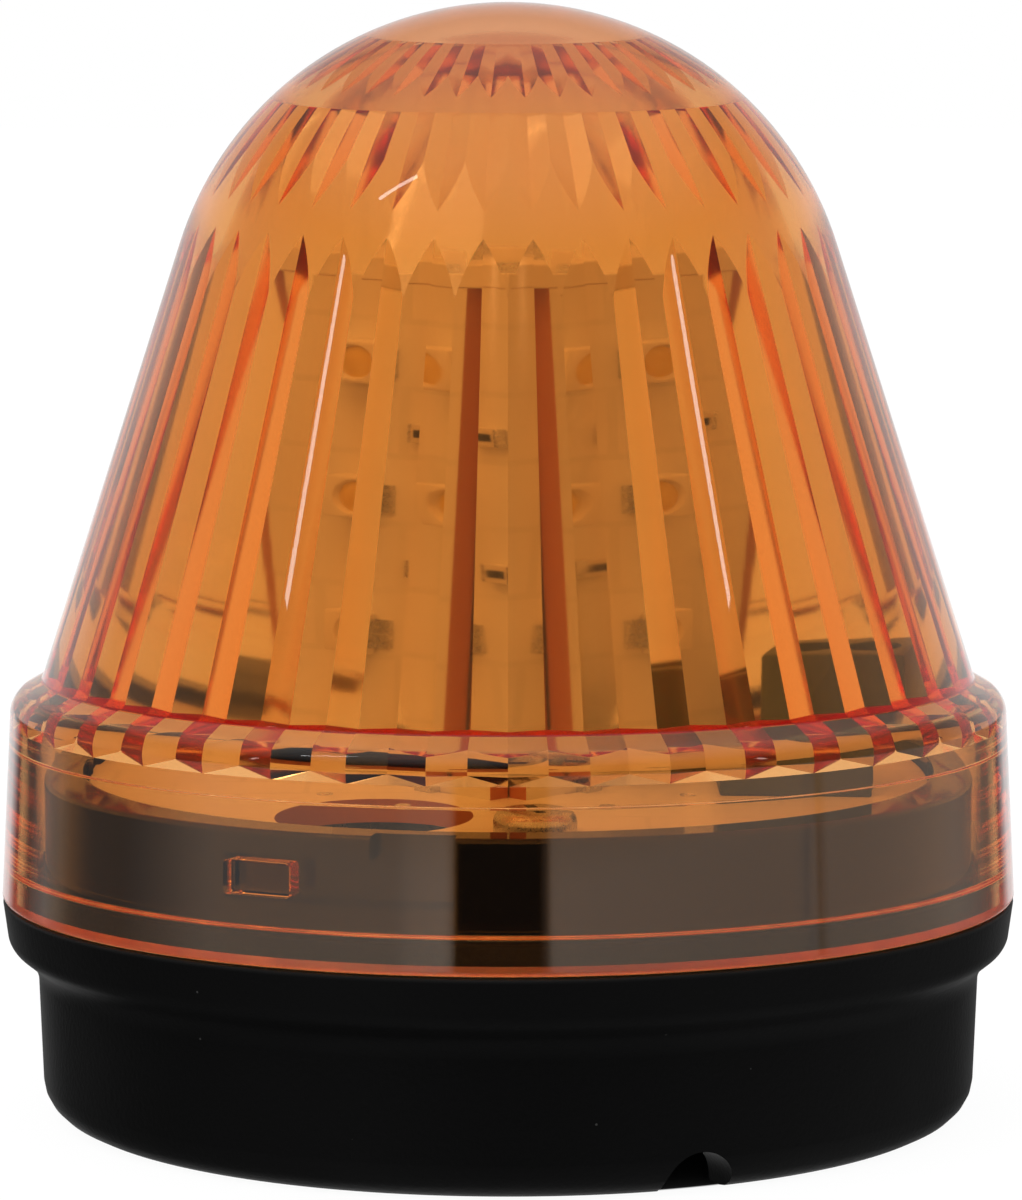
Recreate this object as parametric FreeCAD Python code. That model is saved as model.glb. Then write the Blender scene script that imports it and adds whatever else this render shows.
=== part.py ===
import FreeCAD, Part
import math
import os

from FreeCAD import Vector

# Amber beacon: black base, ribbed lens on a bayonet, LED tower on a round board.
# Millimetres and degrees. +Z is up, the origin is the centre of the foot.
# Angles are counted about +Z from +X, so the side shown to the viewer is at 270.
front = 270.0
same_point = 1e-6

# Overall
total_height = 76.3
base_height = 15.0
collar_radius = 35.0

# Base housing
flange_setback = 0.05
flange_draft = 0.42
flange_overhang = 1.98
flange_depth = 4.66
flange_rise = 1.6
flange_edge_round = 1.35
flange_cove = 2.0
edge_break = 0.25
body_draft = 0.4
foot_round = 2.5
foot_ring_width = 1.6
recess_height = 3.0
floor_thickness = 2.0
cup_corner_break = 1.0
floor_rib_count = 8
floor_rib_thickness = 1.2
floor_rib_gap = 0.6
notch_angle = front + 22.85
notch_radius = 2.4
notch_side = 0.45

# Spigot that the lens turns on
spigot_height = 8.6
spigot_wall = 2.8
lens_gap = 0.6
spigot_edge_break = 0.3

# Lens
collar_wall = 2.1
collar_draft = 3.0
collar_height = 13.92
shoulder_width = 2.15
shoulder_rise = 1.2
shoulder_round = 1.75
crease_round = 1.45
shelf_drop = 1.55
shelf_rise = 1.4
dome_radius = 23.62
lens_wall = 2.0
rim_gap = 0.15
rebate_height = 2.5
rebate_depth = 0.9
rim_chamfer = 0.55
land_height = 10.7
land_depth = 0.35

# Light-spreading ribs inside the lens
rib_count = 40
rib_foot_height = 12.0
short_rib_inset = 0.15
short_rib_depth = 0.8
rib_depth = 0.69
panel_foot_angle = 13.5
lower_tier_end_angle = 25.4
middle_tip_angle = 26.5
middle_ring_angle = 46.5
top_tip_angle = 50.0
top_ring_angle = 65.4
panel_bulge = 0.4
top_panel_bulge = 0.2
middle_step = 0.55
middle_rib_depth = 0.38
top_step = 0.6
top_rib_depth = 0.34

# Bayonet
lug_count = 3
lug_angle = front - 28.7
lug_width = 4.8
lug_height = 2.25
lug_level = 4.4
lug_reach = 1.55
lug_clearance = 0.35
twist_angle = 18.0

# Lens seal
seal_height = 2.0
seal_gap = 0.3

# Main board
board_thickness = 1.6
board_drop = 1.1
board_gap = 0.3
access_radius = 6.5
fixing_radius = 20.0
fixing_angle = front - 26.0
fixing_hole_radius = 2.25
fixing_boss_wall = 2.6
fixing_boss_height = 1.2

# Board screws and their posts
post_count = 3
post_inset = 4.7
post_angle = 34.0
post_radius = 3.0
screw_radius = 1.4
screw_bite = 0.2
screw_length = 8.0
screw_hole_gap = 0.3
screw_head_radius = 2.7
screw_head_height = 1.7
screw_slot_width = 0.7
screw_slot_depth = 0.8

# Cable grommet
grommet_bore_radius = 3.0
grommet_neck_radius = 5.5
grommet_squeeze = 0.1
grommet_lip = 1.8
grommet_lower_lip_height = 1.4
grommet_upper_lip_height = 2.2
grommet_lip_break = 0.6

# LED tower, a square column that stands corner-on to the viewer
tower_side = 19.0
tower_rise = 4.4
tower_corner_gap = 0.1
tab_width = 8.0
tab_length = 2.4
tab_gap = 0.12
led_count = 3
led_width = 3.5
led_tall = 2.8
led_depth = 1.9
led_cup_radius = 1.2
led_cup_taper = 0.35
led_cup_depth = 0.8
led_low_margin = 10.9
led_top_margin = 5.4
top_led_circle = 5.0
resistor_size = (2.0, 1.25, 0.55)
resistor_offset = 4.6

# Terminal block, behind which the wires come up through the rear access hole
terminal_poles = 2
terminal_pitch = 5.0
terminal_end_wall = 0.1
terminal_depth = 8.5
terminal_height = 9.5
terminal_chamfer = 2.0
terminal_edge_gap = 9.9
terminal_offset = -6.0
terminal_screw_radius = 1.8
terminal_screw_height = 2.0
terminal_screw_sink = 0.6
terminal_shank_radius = 1.1
terminal_hole_gap = 0.1
terminal_web = 0.8
terminal_floor = 1.2
terminal_wall = 0.7
terminal_back_wall = 1.5
clamp_thickness = 0.8
clamp_gap = 0.15

# Mode switch with one slider for each way
switch_ways = 4
switch_pitch = 2.54
switch_end_wall = 0.8
switch_width = 6.4
switch_height = 4.0
switch_edge_gap = 10.2
switch_offset = -8.0
slider_length = 1.3
slider_width = 1.2
slider_height = 1.9
slider_proud = 0.4
slider_travel = 1.5
slider_gap = 0.15
slider_float = 0.05

# Parts on the underside of the main board: width, depth, height or radius, height
capacitor_radius = 4.0
capacitor_height = 11.0
capacitor_groove = 0.35
capacitor_place = (-15.0, 0.0)
varistor_radius = 4.2
varistor_thickness = 3.2
varistor_stand = 1.6
varistor_place = (-6.0, 17.0)
lead_radius = 0.35
lead_spread = 2.5
inductor_size = (9.0, 9.0, 4.6)
inductor_corner = 1.6
inductor_place = (15.0, -10.5)
rectifier_size = (6.4, 4.8, 2.5)
rectifier_place = (15.0, 2.5)
chip_size = (4.9, 3.9, 1.5)
chip_place = (0.0, 0.0)
chip_leg = (0.45, 1.0, 0.7)
chip_legs = 4
chip_leg_pitch = 1.27

# Levels and radii that follow from the sizes above
flange_radius = collar_radius - flange_setback
body_top_radius = flange_radius - flange_draft - flange_overhang
body_radius = body_top_radius - body_draft
collar_bore = collar_radius - collar_wall
spigot_radius = collar_bore - lens_gap
spigot_top = base_height + spigot_height
cup_radius = spigot_radius - spigot_wall
recess_radius = body_radius - foot_round - foot_ring_width
floor_top = recess_height + floor_thickness
board_top = spigot_top - board_drop
board_bottom = board_top - board_thickness
board_radius = cup_radius - board_gap
terminal_place = (board_radius - terminal_edge_gap, terminal_offset)
switch_place = (switch_offset, board_radius - switch_edge_gap)
dome_centre = total_height - dome_radius
inner_apex = total_height - lens_wall
shoulder_level = base_height + collar_height
crease_level = shoulder_level + shoulder_rise
shelf_foot_level = crease_level - shelf_drop
shelf_level = shelf_foot_level + shelf_rise
collar_top_radius = collar_radius - collar_height * math.tan(math.radians(collar_draft))
cone_foot_radius = collar_top_radius - shoulder_width
tower_top = dome_centre + tower_rise
rib_pitch = 360.0 / rib_count


def polar(radius, angle, z=0.0):
    turn = math.radians(angle)
    return Vector(radius * math.cos(turn), radius * math.sin(turn), z)


def sharp(radius, z):
    return radius, z, 0.0, False


def rounded(radius, z, size):
    return radius, z, size, True


def bevelled(radius, z, size):
    return radius, z, size, False


def profile(corners):
    # Edges in the XZ plane along a run of sharp, rounded and bevelled corners, from the first to the last.
    edges = []
    places = [Vector(corner[0], 0, corner[1]) for corner in corners]
    last = places[0]
    for i in range(1, len(corners) - 1):
        size, arc = corners[i][2:]
        into = (places[i] - places[i - 1]).normalize()
        out = (places[i + 1] - places[i]).normalize()
        turn = into.getAngle(out)
        reach = size * math.tan(turn / 2) if arc else size
        start = places[i] - into * reach
        end = places[i] + out * reach
        if end.isEqual(places[i + 1], same_point):
            end = places[i + 1]
        if not last.isEqual(start, same_point):
            edges.append(Part.LineSegment(last, start).toShape())
        if arc:
            inward = (out - into).normalize()
            middle = places[i] + inward * (size / math.cos(turn / 2) - size)
            edges.append(Part.Arc(start, middle, end).toShape())
        elif size > 0:
            edges.append(Part.LineSegment(start, end).toShape())
        last = end
    if not last.isEqual(places[-1], same_point):
        edges.append(Part.LineSegment(last, places[-1]).toShape())
    return edges


def revolved(edges):
    face = Part.Face(Part.Wire(edges))
    return face.revolve(Vector(0, 0, 0), Vector(0, 0, 1), 360)


def turned(corners):
    # Solid of revolution about Z from a closed run of profile corners, the first of them sharp.
    return revolved(profile(corners + corners[:1]))


def sector(r0, r1, z0, z1, start, end):
    # Block of a ring between two angles.
    corners = [Vector(r0, 0, z0), Vector(r1, 0, z0), Vector(r1, 0, z1), Vector(r0, 0, z1)]
    face = Part.Face(Part.makePolygon(corners + corners[:1]))
    face.rotate(Vector(0, 0, 0), Vector(0, 0, 1), start)
    return face.revolve(Vector(0, 0, 0), Vector(0, 0, 1), end - start)


def block(size, centre, bottom):
    width, depth, height = size
    corner = Vector(centre[0] - width / 2, centre[1] - depth / 2, bottom)
    return Part.makeBox(width, depth, height, corner)


def rod(radius, z0, z1, place=(0.0, 0.0)):
    return Part.makeCylinder(radius, z1 - z0, Vector(place[0], place[1], z0))


def spun(shape, angle):
    copy = shape.copy()
    copy.rotate(Vector(0, 0, 0), Vector(0, 0, 1), angle)
    return copy


def spread(count):
    return [i * 360.0 / count for i in range(count)]


def export(name, shape):
    shape.exportStep("parts/" + name + ".step")


def fixing_places():
    return [polar(fixing_radius, fixing_angle + turn) for turn in spread(2)]


def post_places():
    return [polar(cup_radius - post_inset, post_angle + turn) for turn in spread(post_count)]


def base_housing():
    underside = base_height - flange_depth
    edge_radius = flange_radius - flange_draft
    shell = turned([
        sharp(0, recess_height),
        sharp(recess_radius, recess_height),
        sharp(recess_radius, 0),
        rounded(body_radius, 0, foot_round),
        rounded(body_top_radius, underside, flange_cove),
        rounded(edge_radius, underside + flange_rise, flange_edge_round),
        bevelled(flange_radius, base_height, edge_break),
        sharp(spigot_radius, base_height),
        bevelled(spigot_radius, spigot_top, spigot_edge_break),
        bevelled(cup_radius, spigot_top, spigot_edge_break),
        bevelled(cup_radius, floor_top, cup_corner_break),
        sharp(0, floor_top),
    ])
    neck = grommet_neck_radius + fixing_boss_wall
    adds = [rod(post_radius, recess_height, board_bottom, place) for place in post_places()]
    boss_top = floor_top + fixing_boss_height
    adds += [rod(fixing_hole_radius + fixing_boss_wall, recess_height, boss_top, place)
             for place in fixing_places()]
    for turn in spread(floor_rib_count):
        rib = Part.makeBox(recess_radius - neck + foot_ring_width / 2, floor_rib_thickness,
                           recess_height - floor_rib_gap + floor_thickness / 2,
                           Vector(neck, -floor_rib_thickness / 2, floor_rib_gap))
        adds.append(spun(rib, fixing_angle + 180.0 / floor_rib_count + turn))
    shell = shell.fuse(adds)
    cuts = [rod(grommet_neck_radius, 0, boss_top)]
    cuts += [rod(fixing_hole_radius, 0, boss_top, place) for place in fixing_places()]
    pilot = screw_radius - screw_bite
    pilot_foot = board_top - screw_length - 2 * screw_bite
    cuts += [rod(pilot, pilot_foot, board_top, place) for place in post_places()]
    start = recess_radius - foot_ring_width
    arch = Part.makeCylinder(notch_radius, collar_radius, Vector(start, 0, notch_side), Vector(1, 0, 0))
    sides = Part.makeBox(collar_radius, 2 * notch_radius, notch_side, Vector(start, -notch_radius, 0))
    cuts.append(spun(arch.fuse(sides), notch_angle))
    cuts += bayonet_slots()
    return shell.cut(cuts)


def lug_half_angle(extra=0.0):
    return math.degrees((lug_width / 2 + extra) / collar_bore)


def bayonet_slots():
    # An entry channel from the top of the spigot and a locking groove beside it for each lug.
    slot_floor = collar_bore - lug_reach - lug_clearance
    slot_bottom = base_height + lug_level - lug_clearance
    slot_top = base_height + lug_level + lug_height + lug_clearance
    half = lug_half_angle(lug_clearance)
    slots = []
    for turn in spread(lug_count):
        locked = lug_angle + turn
        groove = sector(slot_floor, collar_bore, slot_bottom, slot_top,
                        locked - half, locked + twist_angle + half)
        channel = sector(slot_floor, collar_bore, slot_bottom, spigot_top + lug_clearance,
                         locked + twist_angle - half, locked + twist_angle + half)
        slots.append(groove.fuse(channel))
    return slots


def cone_angle():
    # Half-angle of the cone that leaves the shoulder and runs tangent into the dome.
    rise = dome_centre - crease_level
    reach = math.hypot(cone_foot_radius, rise)
    return math.atan2(cone_foot_radius, rise) - math.asin(dome_radius / reach)


def cone_radius(z):
    slope = cone_angle()
    return (dome_radius + (dome_centre - z) * math.sin(slope)) / math.cos(slope)


def valley_radius(z):
    return cone_radius(z) - lens_wall / math.cos(cone_angle())


def dome_point(angle):
    # Point on the inner dome at an elevation angle seen from the dome's centre.
    radius = dome_radius - lens_wall
    turn = math.radians(angle)
    return Vector(radius * math.cos(turn), 0, dome_centre + radius * math.sin(turn))


def bulged(start, end, bulge):
    # Arc between two profile points that stands out from its chord by the bulge.
    along = (end - start).normalize()
    outward = Vector(along.z, 0, -along.x)
    return Part.Arc(start, (start + end) * 0.5 + outward * bulge, end).toShape()


def arc_radius_at(arc, z):
    circle = arc.Curve
    return circle.Center.x + math.sqrt(circle.Radius ** 2 - (z - circle.Center.z) ** 2)


def ribbed_frustum(z0, crest0, z1, crest1, depth_share):
    # Many-sided frustum whose section is a zigzag: crests between the valleys, every facet flat.
    def section(z, crest):
        ring = []
        for i in range(rib_count):
            valley = front + i * rib_pitch
            ring.append(polar(crest * (1 + depth_share), valley, z))
            ring.append(polar(crest, valley + rib_pitch / 2, z))
        return ring

    low = section(z0, crest0)
    high = section(z1, crest1)
    faces = [Part.Face(Part.makePolygon(ring + ring[:1])) for ring in (low, high)]
    for i in range(len(low)):
        j = (i + 1) % len(low)
        faces.append(Part.Face(Part.makePolygon([low[i], low[j], high[j], high[i], low[i]])))
    solid = Part.Solid(Part.Shell(faces))
    if solid.Volume < 0:
        solid.reverse()
    return solid


def inner_dome(arcs):
    # Smooth inner form of the lens above the shelf: three curved panels with a ring between them.
    start = dome_point(panel_foot_angle)
    along = arcs[0].tangentAt(arcs[0].FirstParameter)
    foot = start - along * ((start.z - shelf_level) / along.z)
    centre = Vector(0, 0, shelf_level)
    apex = Vector(0, 0, inner_apex)
    edges = [Part.LineSegment(centre, foot).toShape(), Part.LineSegment(foot, start).toShape()]
    edges += arcs
    edges.append(Part.LineSegment(apex, centre).toShape())
    return revolved(edges)


def panel_arcs():
    foot = dome_point(panel_foot_angle)
    middle_ring = dome_point(middle_ring_angle)
    top_ring = dome_point(top_ring_angle)
    apex = Vector(0, 0, inner_apex)
    middle = bulged(foot, middle_ring, panel_bulge)
    top = bulged(middle_ring, top_ring, top_panel_bulge)
    drop = apex.z - top_ring.z
    cap_radius = (top_ring.x ** 2 + drop ** 2) / (2 * drop)
    cap_turn = math.asin(top_ring.x / cap_radius) / 2
    cap_middle = Vector(cap_radius * math.sin(cap_turn), 0,
                        apex.z - cap_radius * (1 - math.cos(cap_turn)))
    return [middle, top, Part.Arc(top_ring, cap_middle, apex).toShape()]


def tier(arc, tip_angle, ring_angle, start_angle, step, depth):
    # Ribs that are full below their ring and run out to points on the panel under it.
    tip_level = dome_point(tip_angle).z
    tip_radius = arc_radius_at(arc, tip_level)
    ring = dome_point(ring_angle)
    crest = ring.x - step
    growth = (tip_radius - crest) / (ring.z - tip_level)
    start_level = dome_point(start_angle).z
    start_crest = crest + growth * (ring.z - start_level)
    return ribbed_frustum(start_level, start_crest, ring.z, crest, depth / crest)


def lens_cavities():
    rib_foot = base_height + rib_foot_height
    short_crest = collar_bore - short_rib_inset - short_rib_depth
    short_ribs = ribbed_frustum(rib_foot, short_crest, shelf_foot_level, short_crest,
                                short_rib_depth / short_crest)
    arcs = panel_arcs()
    smooth = inner_dome(arcs)
    lower_end = dome_point(lower_tier_end_angle).z
    shelf_crest = valley_radius(shelf_level) - rib_depth
    depth_share = rib_depth / shelf_crest
    shelf = ribbed_frustum(shelf_foot_level, short_crest, shelf_level, shelf_crest, depth_share)
    taper = valley_radius(lower_end) / valley_radius(shelf_level)
    lower = ribbed_frustum(shelf_level, shelf_crest, lower_end, shelf_crest * taper, depth_share)
    middle = tier(arcs[0], middle_tip_angle, middle_ring_angle, lower_tier_end_angle,
                  middle_step, middle_rib_depth)
    top = tier(arcs[1], top_tip_angle, top_ring_angle, middle_ring_angle, top_step, top_rib_depth)
    cap = rod(collar_bore, dome_point(top_ring_angle).z, total_height)
    return [short_ribs, shelf] + [smooth.common(part) for part in (lower, middle, top, cap)]


def lens():
    rim = base_height + rim_gap
    corner = cone_radius(total_height)
    outer = turned([
        sharp(0, rim),
        bevelled(collar_radius - rim_gap * math.tan(math.radians(collar_draft)), rim, edge_break),
        rounded(collar_top_radius, shoulder_level, shoulder_round),
        rounded(cone_foot_radius, crease_level, crease_round),
        rounded(corner, total_height, dome_radius),
        sharp(0, total_height),
    ])
    rebate_radius = collar_bore + rebate_depth
    rebate_top = base_height + rebate_height
    land = base_height + land_height
    rib_foot = base_height + rib_foot_height
    bore = turned([
        sharp(0, rim),
        sharp(rebate_radius + rim_chamfer, rim),
        sharp(rebate_radius, rim + rim_chamfer),
        sharp(rebate_radius, rebate_top),
        sharp(collar_bore, rebate_top),
        sharp(collar_bore, land),
        sharp(collar_bore - land_depth, land),
        sharp(collar_bore - land_depth, rib_foot),
        sharp(0, rib_foot),
    ])
    shape = outer.cut(bore)
    for cavity in lens_cavities():
        shape = shape.cut(cavity)
    low = base_height + lug_level
    half = lug_half_angle()
    lugs = [sector(collar_bore - lug_reach, collar_bore + collar_wall / 2, low, low + lug_height,
                   lug_angle + turn - half, lug_angle + turn + half) for turn in spread(lug_count)]
    return shape.fuse(lugs)


def lens_seal():
    outer = collar_bore + rebate_depth - seal_gap
    width = outer - spigot_radius
    top = base_height + seal_height
    return turned([
        sharp(spigot_radius, base_height),
        sharp(outer, base_height),
        bevelled(outer, top, width / 3),
        bevelled(spigot_radius, top, width / 3),
    ])


def cable_grommet():
    low = recess_height - grommet_lower_lip_height
    high = floor_top + grommet_upper_lip_height
    neck = grommet_neck_radius + grommet_squeeze
    lip = grommet_neck_radius + grommet_lip
    return turned([
        sharp(grommet_bore_radius, low),
        bevelled(lip, low, grommet_lip_break),
        sharp(lip, recess_height),
        sharp(neck, recess_height),
        sharp(neck, floor_top),
        sharp(lip, floor_top),
        bevelled(grommet_bore_radius + grommet_lip, high, grommet_lip_break),
        sharp(grommet_bore_radius, high),
    ])


def tower_turns():
    # The four faces look out between the axes, so a corner points at the viewer.
    return [front + 45.0 + turn for turn in spread(4)]


def tab_slot():
    size = (board_thickness + 2 * tab_gap, tab_width + 2 * tab_gap, board_thickness)
    return block(size, (tower_side / 2 - board_thickness / 2, 0), board_bottom)


def main_board():
    cuts = [rod(access_radius, board_bottom, board_top, place) for place in fixing_places()]
    cuts += [rod(screw_radius + screw_hole_gap, board_bottom, board_top, place) for place in post_places()]
    cuts += [spun(tab_slot(), turn) for turn in tower_turns()]
    return rod(board_radius, board_bottom, board_top).cut(cuts)


def board_screw(place):
    head_top = board_top + screw_head_height
    shank = rod(screw_radius, board_top - screw_length, board_top)
    head = turned([
        sharp(0, board_top),
        sharp(screw_head_radius, board_top),
        bevelled(screw_head_radius, head_top, screw_head_height / 2),
        sharp(0, head_top),
    ])
    arms = []
    for size in ((screw_head_radius, screw_slot_width), (screw_slot_width, screw_head_radius)):
        arms.append(block(size + (screw_slot_depth,), (0, 0), head_top - screw_slot_depth))
    screw = shank.fuse(head).cut(arms)
    screw.translate(place)
    return screw


def led_board():
    # One upright board with a tab that goes through the main board, facing +X.
    width = tower_side - 2 * board_thickness - 2 * tower_corner_gap
    centre = (tower_side / 2 - board_thickness / 2, 0)
    plate = block((board_thickness, width, tower_top - board_top), centre, board_top)
    tab = block((board_thickness, tab_width, tab_length), centre, board_top - tab_length)
    return plate.fuse(tab)


def led(place):
    # LED package that looks along +X, with a dished reflector cup.
    body = Part.makeBox(led_depth, led_width, led_tall, place - Vector(0, led_width / 2, led_tall / 2))
    cup = Part.makeCone(led_cup_radius - led_cup_taper, led_cup_radius, led_cup_depth,
                        place + Vector(led_depth - led_cup_depth, 0, 0), Vector(1, 0, 0))
    return body.cut(cup)


def led_levels():
    low = board_top + led_low_margin
    pitch = (tower_top - led_top_margin - low) / (led_count - 1)
    return [low + i * pitch for i in range(led_count)]


def face_leds():
    return [led(Vector(tower_side / 2, 0, z)) for z in led_levels()]


def face_resistors():
    width, tall, depth = resistor_size
    levels = led_levels()
    places = [(levels[i] + levels[i + 1]) / 2 for i in range(led_count - 1)]
    return [Part.makeBox(depth, width, tall, Vector(tower_side / 2, resistor_offset - width / 2, z - tall / 2))
            for z in places]


def tower_top_board():
    plate = block((tower_side, tower_side, board_thickness), (0, 0), tower_top)
    return spun(plate, tower_turns()[0])


def top_leds():
    upright = led(Vector(0, 0, 0))
    upright.rotate(Vector(0, 0, 0), Vector(0, 1, 0), -90)
    upright.translate(Vector(0, 0, tower_top + board_thickness))
    leds = []
    for turn in spread(led_count):
        copy = upright.copy()
        copy.translate(polar(top_led_circle, front + turn))
        leds.append(copy)
    return leds


def terminal_pole_places():
    centre = (terminal_poles - 1) / 2
    return [terminal_place[0] + (i - centre) * terminal_pitch for i in range(terminal_poles)]


def terminal_levels():
    # Floor of the wire way, its roof, the screw seat and the top of the block.
    top = board_top + terminal_height
    seat = top - terminal_screw_sink - terminal_screw_height
    return board_top + terminal_floor, seat - terminal_web, seat, top


def terminal_screw_y():
    return terminal_place[1] - terminal_chamfer / 2


def terminal_block():
    floor, roof, seat, top = terminal_levels()
    length = terminal_poles * terminal_pitch + 2 * terminal_end_wall
    near = terminal_place[1] - terminal_depth / 2
    far = terminal_place[1] + terminal_depth / 2
    outline = [(near, board_top), (far, board_top), (far, top - terminal_chamfer),
               (far - terminal_chamfer, top), (near, top)]
    left = terminal_place[0] - length / 2
    corners = [Vector(left, y, z) for y, z in outline]
    shape = Part.Face(Part.makePolygon(corners + corners[:1])).extrude(Vector(length, 0, 0))
    cuts = []
    for x in terminal_pole_places():
        place = (x, terminal_screw_y())
        width = terminal_pitch - 2 * terminal_wall
        start = near + terminal_back_wall
        cuts.append(Part.makeBox(width, far - start, roof - floor, Vector(x - width / 2, start, floor)))
        cuts.append(rod(terminal_screw_radius + terminal_hole_gap, seat, top, place))
        cuts.append(rod(terminal_shank_radius + terminal_hole_gap, roof, seat, place))
    return shape.cut(cuts)


def terminal_screws():
    floor, roof, seat, top = terminal_levels()
    screws = []
    for x in terminal_pole_places():
        place = (x, terminal_screw_y())
        head = rod(terminal_screw_radius, seat, seat + terminal_screw_height, place)
        shank = rod(terminal_shank_radius, floor + 2 * clamp_thickness, seat, place)
        slot = block((2 * terminal_screw_radius, screw_slot_width, screw_slot_depth), place,
                     seat + terminal_screw_height - screw_slot_depth)
        screws.append(head.fuse(shank).cut(slot))
    return screws


def terminal_clamps():
    # Pressure plates on the floor of each wire way.
    floor = terminal_levels()[0]
    width = terminal_pitch - 2 * terminal_wall - 2 * clamp_gap
    size = (width, terminal_depth - 2 * terminal_back_wall, clamp_thickness)
    return [block(size, (x, terminal_place[1]), floor) for x in terminal_pole_places()]


def switch_ys():
    centre = (switch_ways - 1) / 2
    return [switch_place[1] + (i - centre) * switch_pitch for i in range(switch_ways)]


def switch_slot_floor():
    return board_top + switch_height + slider_proud - slider_height - slider_float


def dip_switch_body():
    top = board_top + switch_height
    length = switch_ways * switch_pitch + 2 * switch_end_wall
    body = block((switch_width, length, switch_height), switch_place, board_top)
    slot = (slider_length + slider_travel + 2 * slider_gap, slider_width + 2 * slider_gap,
            top - switch_slot_floor())
    return body.cut([block(slot, (switch_place[0], y), switch_slot_floor()) for y in switch_ys()])


def dip_slider(y):
    centre = (switch_place[0] - slider_travel / 2, y)
    return block((slider_length, slider_width, slider_height), centre, switch_slot_floor() + slider_float)


def smoothing_capacitor():
    low = board_bottom - capacitor_height
    groove = board_bottom - capacitor_height / 5
    can = turned([
        sharp(0, low),
        bevelled(capacitor_radius, low, 2 * capacitor_groove),
        sharp(capacitor_radius, groove - 2 * capacitor_groove),
        sharp(capacitor_radius - capacitor_groove, groove),
        sharp(capacitor_radius, groove + 2 * capacitor_groove),
        sharp(capacitor_radius, board_bottom),
        sharp(0, board_bottom),
    ])
    can.translate(Vector(capacitor_place[0], capacitor_place[1], 0))
    return can


def varistor():
    # Coated disc that hangs on edge from two leads.
    x, y = varistor_place
    centre = Vector(x, y - varistor_thickness / 2, board_bottom - varistor_stand - varistor_radius)
    disc = Part.makeCylinder(varistor_radius, varistor_thickness, centre, Vector(0, 1, 0))
    rim = [edge for edge in disc.Edges if isinstance(edge.Curve, Part.Circle)]
    disc = disc.makeChamfer(varistor_thickness / 4, rim)
    leads = [rod(lead_radius, centre.z, board_bottom, (x + side * lead_spread, y)) for side in (-1, 1)]
    return disc.fuse(leads)


def inductor():
    low = board_bottom - inductor_size[2]
    body = block(inductor_size, inductor_place, low)
    corners = [edge for edge in body.Edges if abs(edge.tangentAt(edge.FirstParameter).z) > 0.9]
    return body.makeChamfer(inductor_corner, corners)


def bridge_rectifier():
    return block(rectifier_size, rectifier_place, board_bottom - rectifier_size[2])


def driver_chip():
    # Small-outline package with gull legs along both long sides.
    leg_width, leg_reach, leg_height = chip_leg
    width, depth, height = chip_size
    body = block(chip_size, chip_place, board_bottom - height)
    legs = []
    centre = (chip_legs - 1) / 2
    for i in range(chip_legs):
        x = chip_place[0] + (i - centre) * chip_leg_pitch
        for side in (-1, 1):
            y = chip_place[1] + side * (depth + leg_reach) / 2
            legs.append(block((leg_width, leg_reach, leg_height), (x, y), board_bottom - leg_height))
    return body.fuse(legs)


os.makedirs("parts", exist_ok=True)

export("base_housing", base_housing())
export("lens", lens())
export("lens_seal", lens_seal())
export("cable_grommet", cable_grommet())
export("main_board", main_board())
export("board_screws", Part.makeCompound([board_screw(place) for place in post_places()]))
for number, turn in enumerate(tower_turns(), 1):
    export("led_board_%d" % number, spun(led_board(), turn))
    export("leds_%d" % number, Part.makeCompound([spun(part, turn) for part in face_leds()]))
resistors = [spun(part, turn) for turn in tower_turns() for part in face_resistors()]
export("led_resistors", Part.makeCompound(resistors))
export("tower_top_board", tower_top_board())
export("top_leds", Part.makeCompound(top_leds()))
export("terminal_block", terminal_block())
export("terminal_screws", Part.makeCompound(terminal_screws()))
export("terminal_clamps", Part.makeCompound(terminal_clamps()))
export("dip_switch_body", dip_switch_body())
for number, y in enumerate(switch_ys(), 1):
    export("dip_slider_%d" % number, dip_slider(y))
export("smoothing_capacitor", smoothing_capacitor())
export("varistor", varistor())
export("inductor", inductor())
export("bridge_rectifier", bridge_rectifier())
export("driver_chip", driver_chip())
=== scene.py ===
import math

import bmesh
import bpy
from mathutils import Matrix, Vector


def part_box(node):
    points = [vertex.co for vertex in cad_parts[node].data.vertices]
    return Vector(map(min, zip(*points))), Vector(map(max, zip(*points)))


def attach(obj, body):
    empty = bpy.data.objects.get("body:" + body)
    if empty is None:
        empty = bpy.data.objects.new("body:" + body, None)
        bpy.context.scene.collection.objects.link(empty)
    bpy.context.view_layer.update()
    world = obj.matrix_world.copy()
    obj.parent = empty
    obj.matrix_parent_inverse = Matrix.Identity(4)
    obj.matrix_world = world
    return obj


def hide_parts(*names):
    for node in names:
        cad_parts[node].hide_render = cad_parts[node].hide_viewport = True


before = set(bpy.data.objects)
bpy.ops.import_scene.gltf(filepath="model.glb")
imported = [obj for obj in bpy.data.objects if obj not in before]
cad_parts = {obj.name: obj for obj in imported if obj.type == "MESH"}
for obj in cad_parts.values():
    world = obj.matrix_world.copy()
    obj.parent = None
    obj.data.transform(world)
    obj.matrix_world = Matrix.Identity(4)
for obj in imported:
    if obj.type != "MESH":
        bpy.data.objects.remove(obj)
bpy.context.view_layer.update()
mm = 0.001
frontAngle = 270.0  # the side that faces the camera, counted about +Z from +X


def levelsOf(node):
    # lowest and highest level of a CAD node, in millimetres
    return [corner.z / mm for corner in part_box(node)]


def boxOf(node):
    return [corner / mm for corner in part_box(node)]


# levels that several pieces share
partingLevel = levelsOf("lens_seal")[0]
spigotTop = levelsOf("base_housing")[1]
lensApex = levelsOf("lens")[1]
boardBottom, boardTop = levelsOf("main_board")


# mesh tools

merging = {"spun": (0.0005, 0.0002), "cut": (0.001, 0.001)}  # for points and for thin edges, in millimetres
bevelAngle = 40.0


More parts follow.
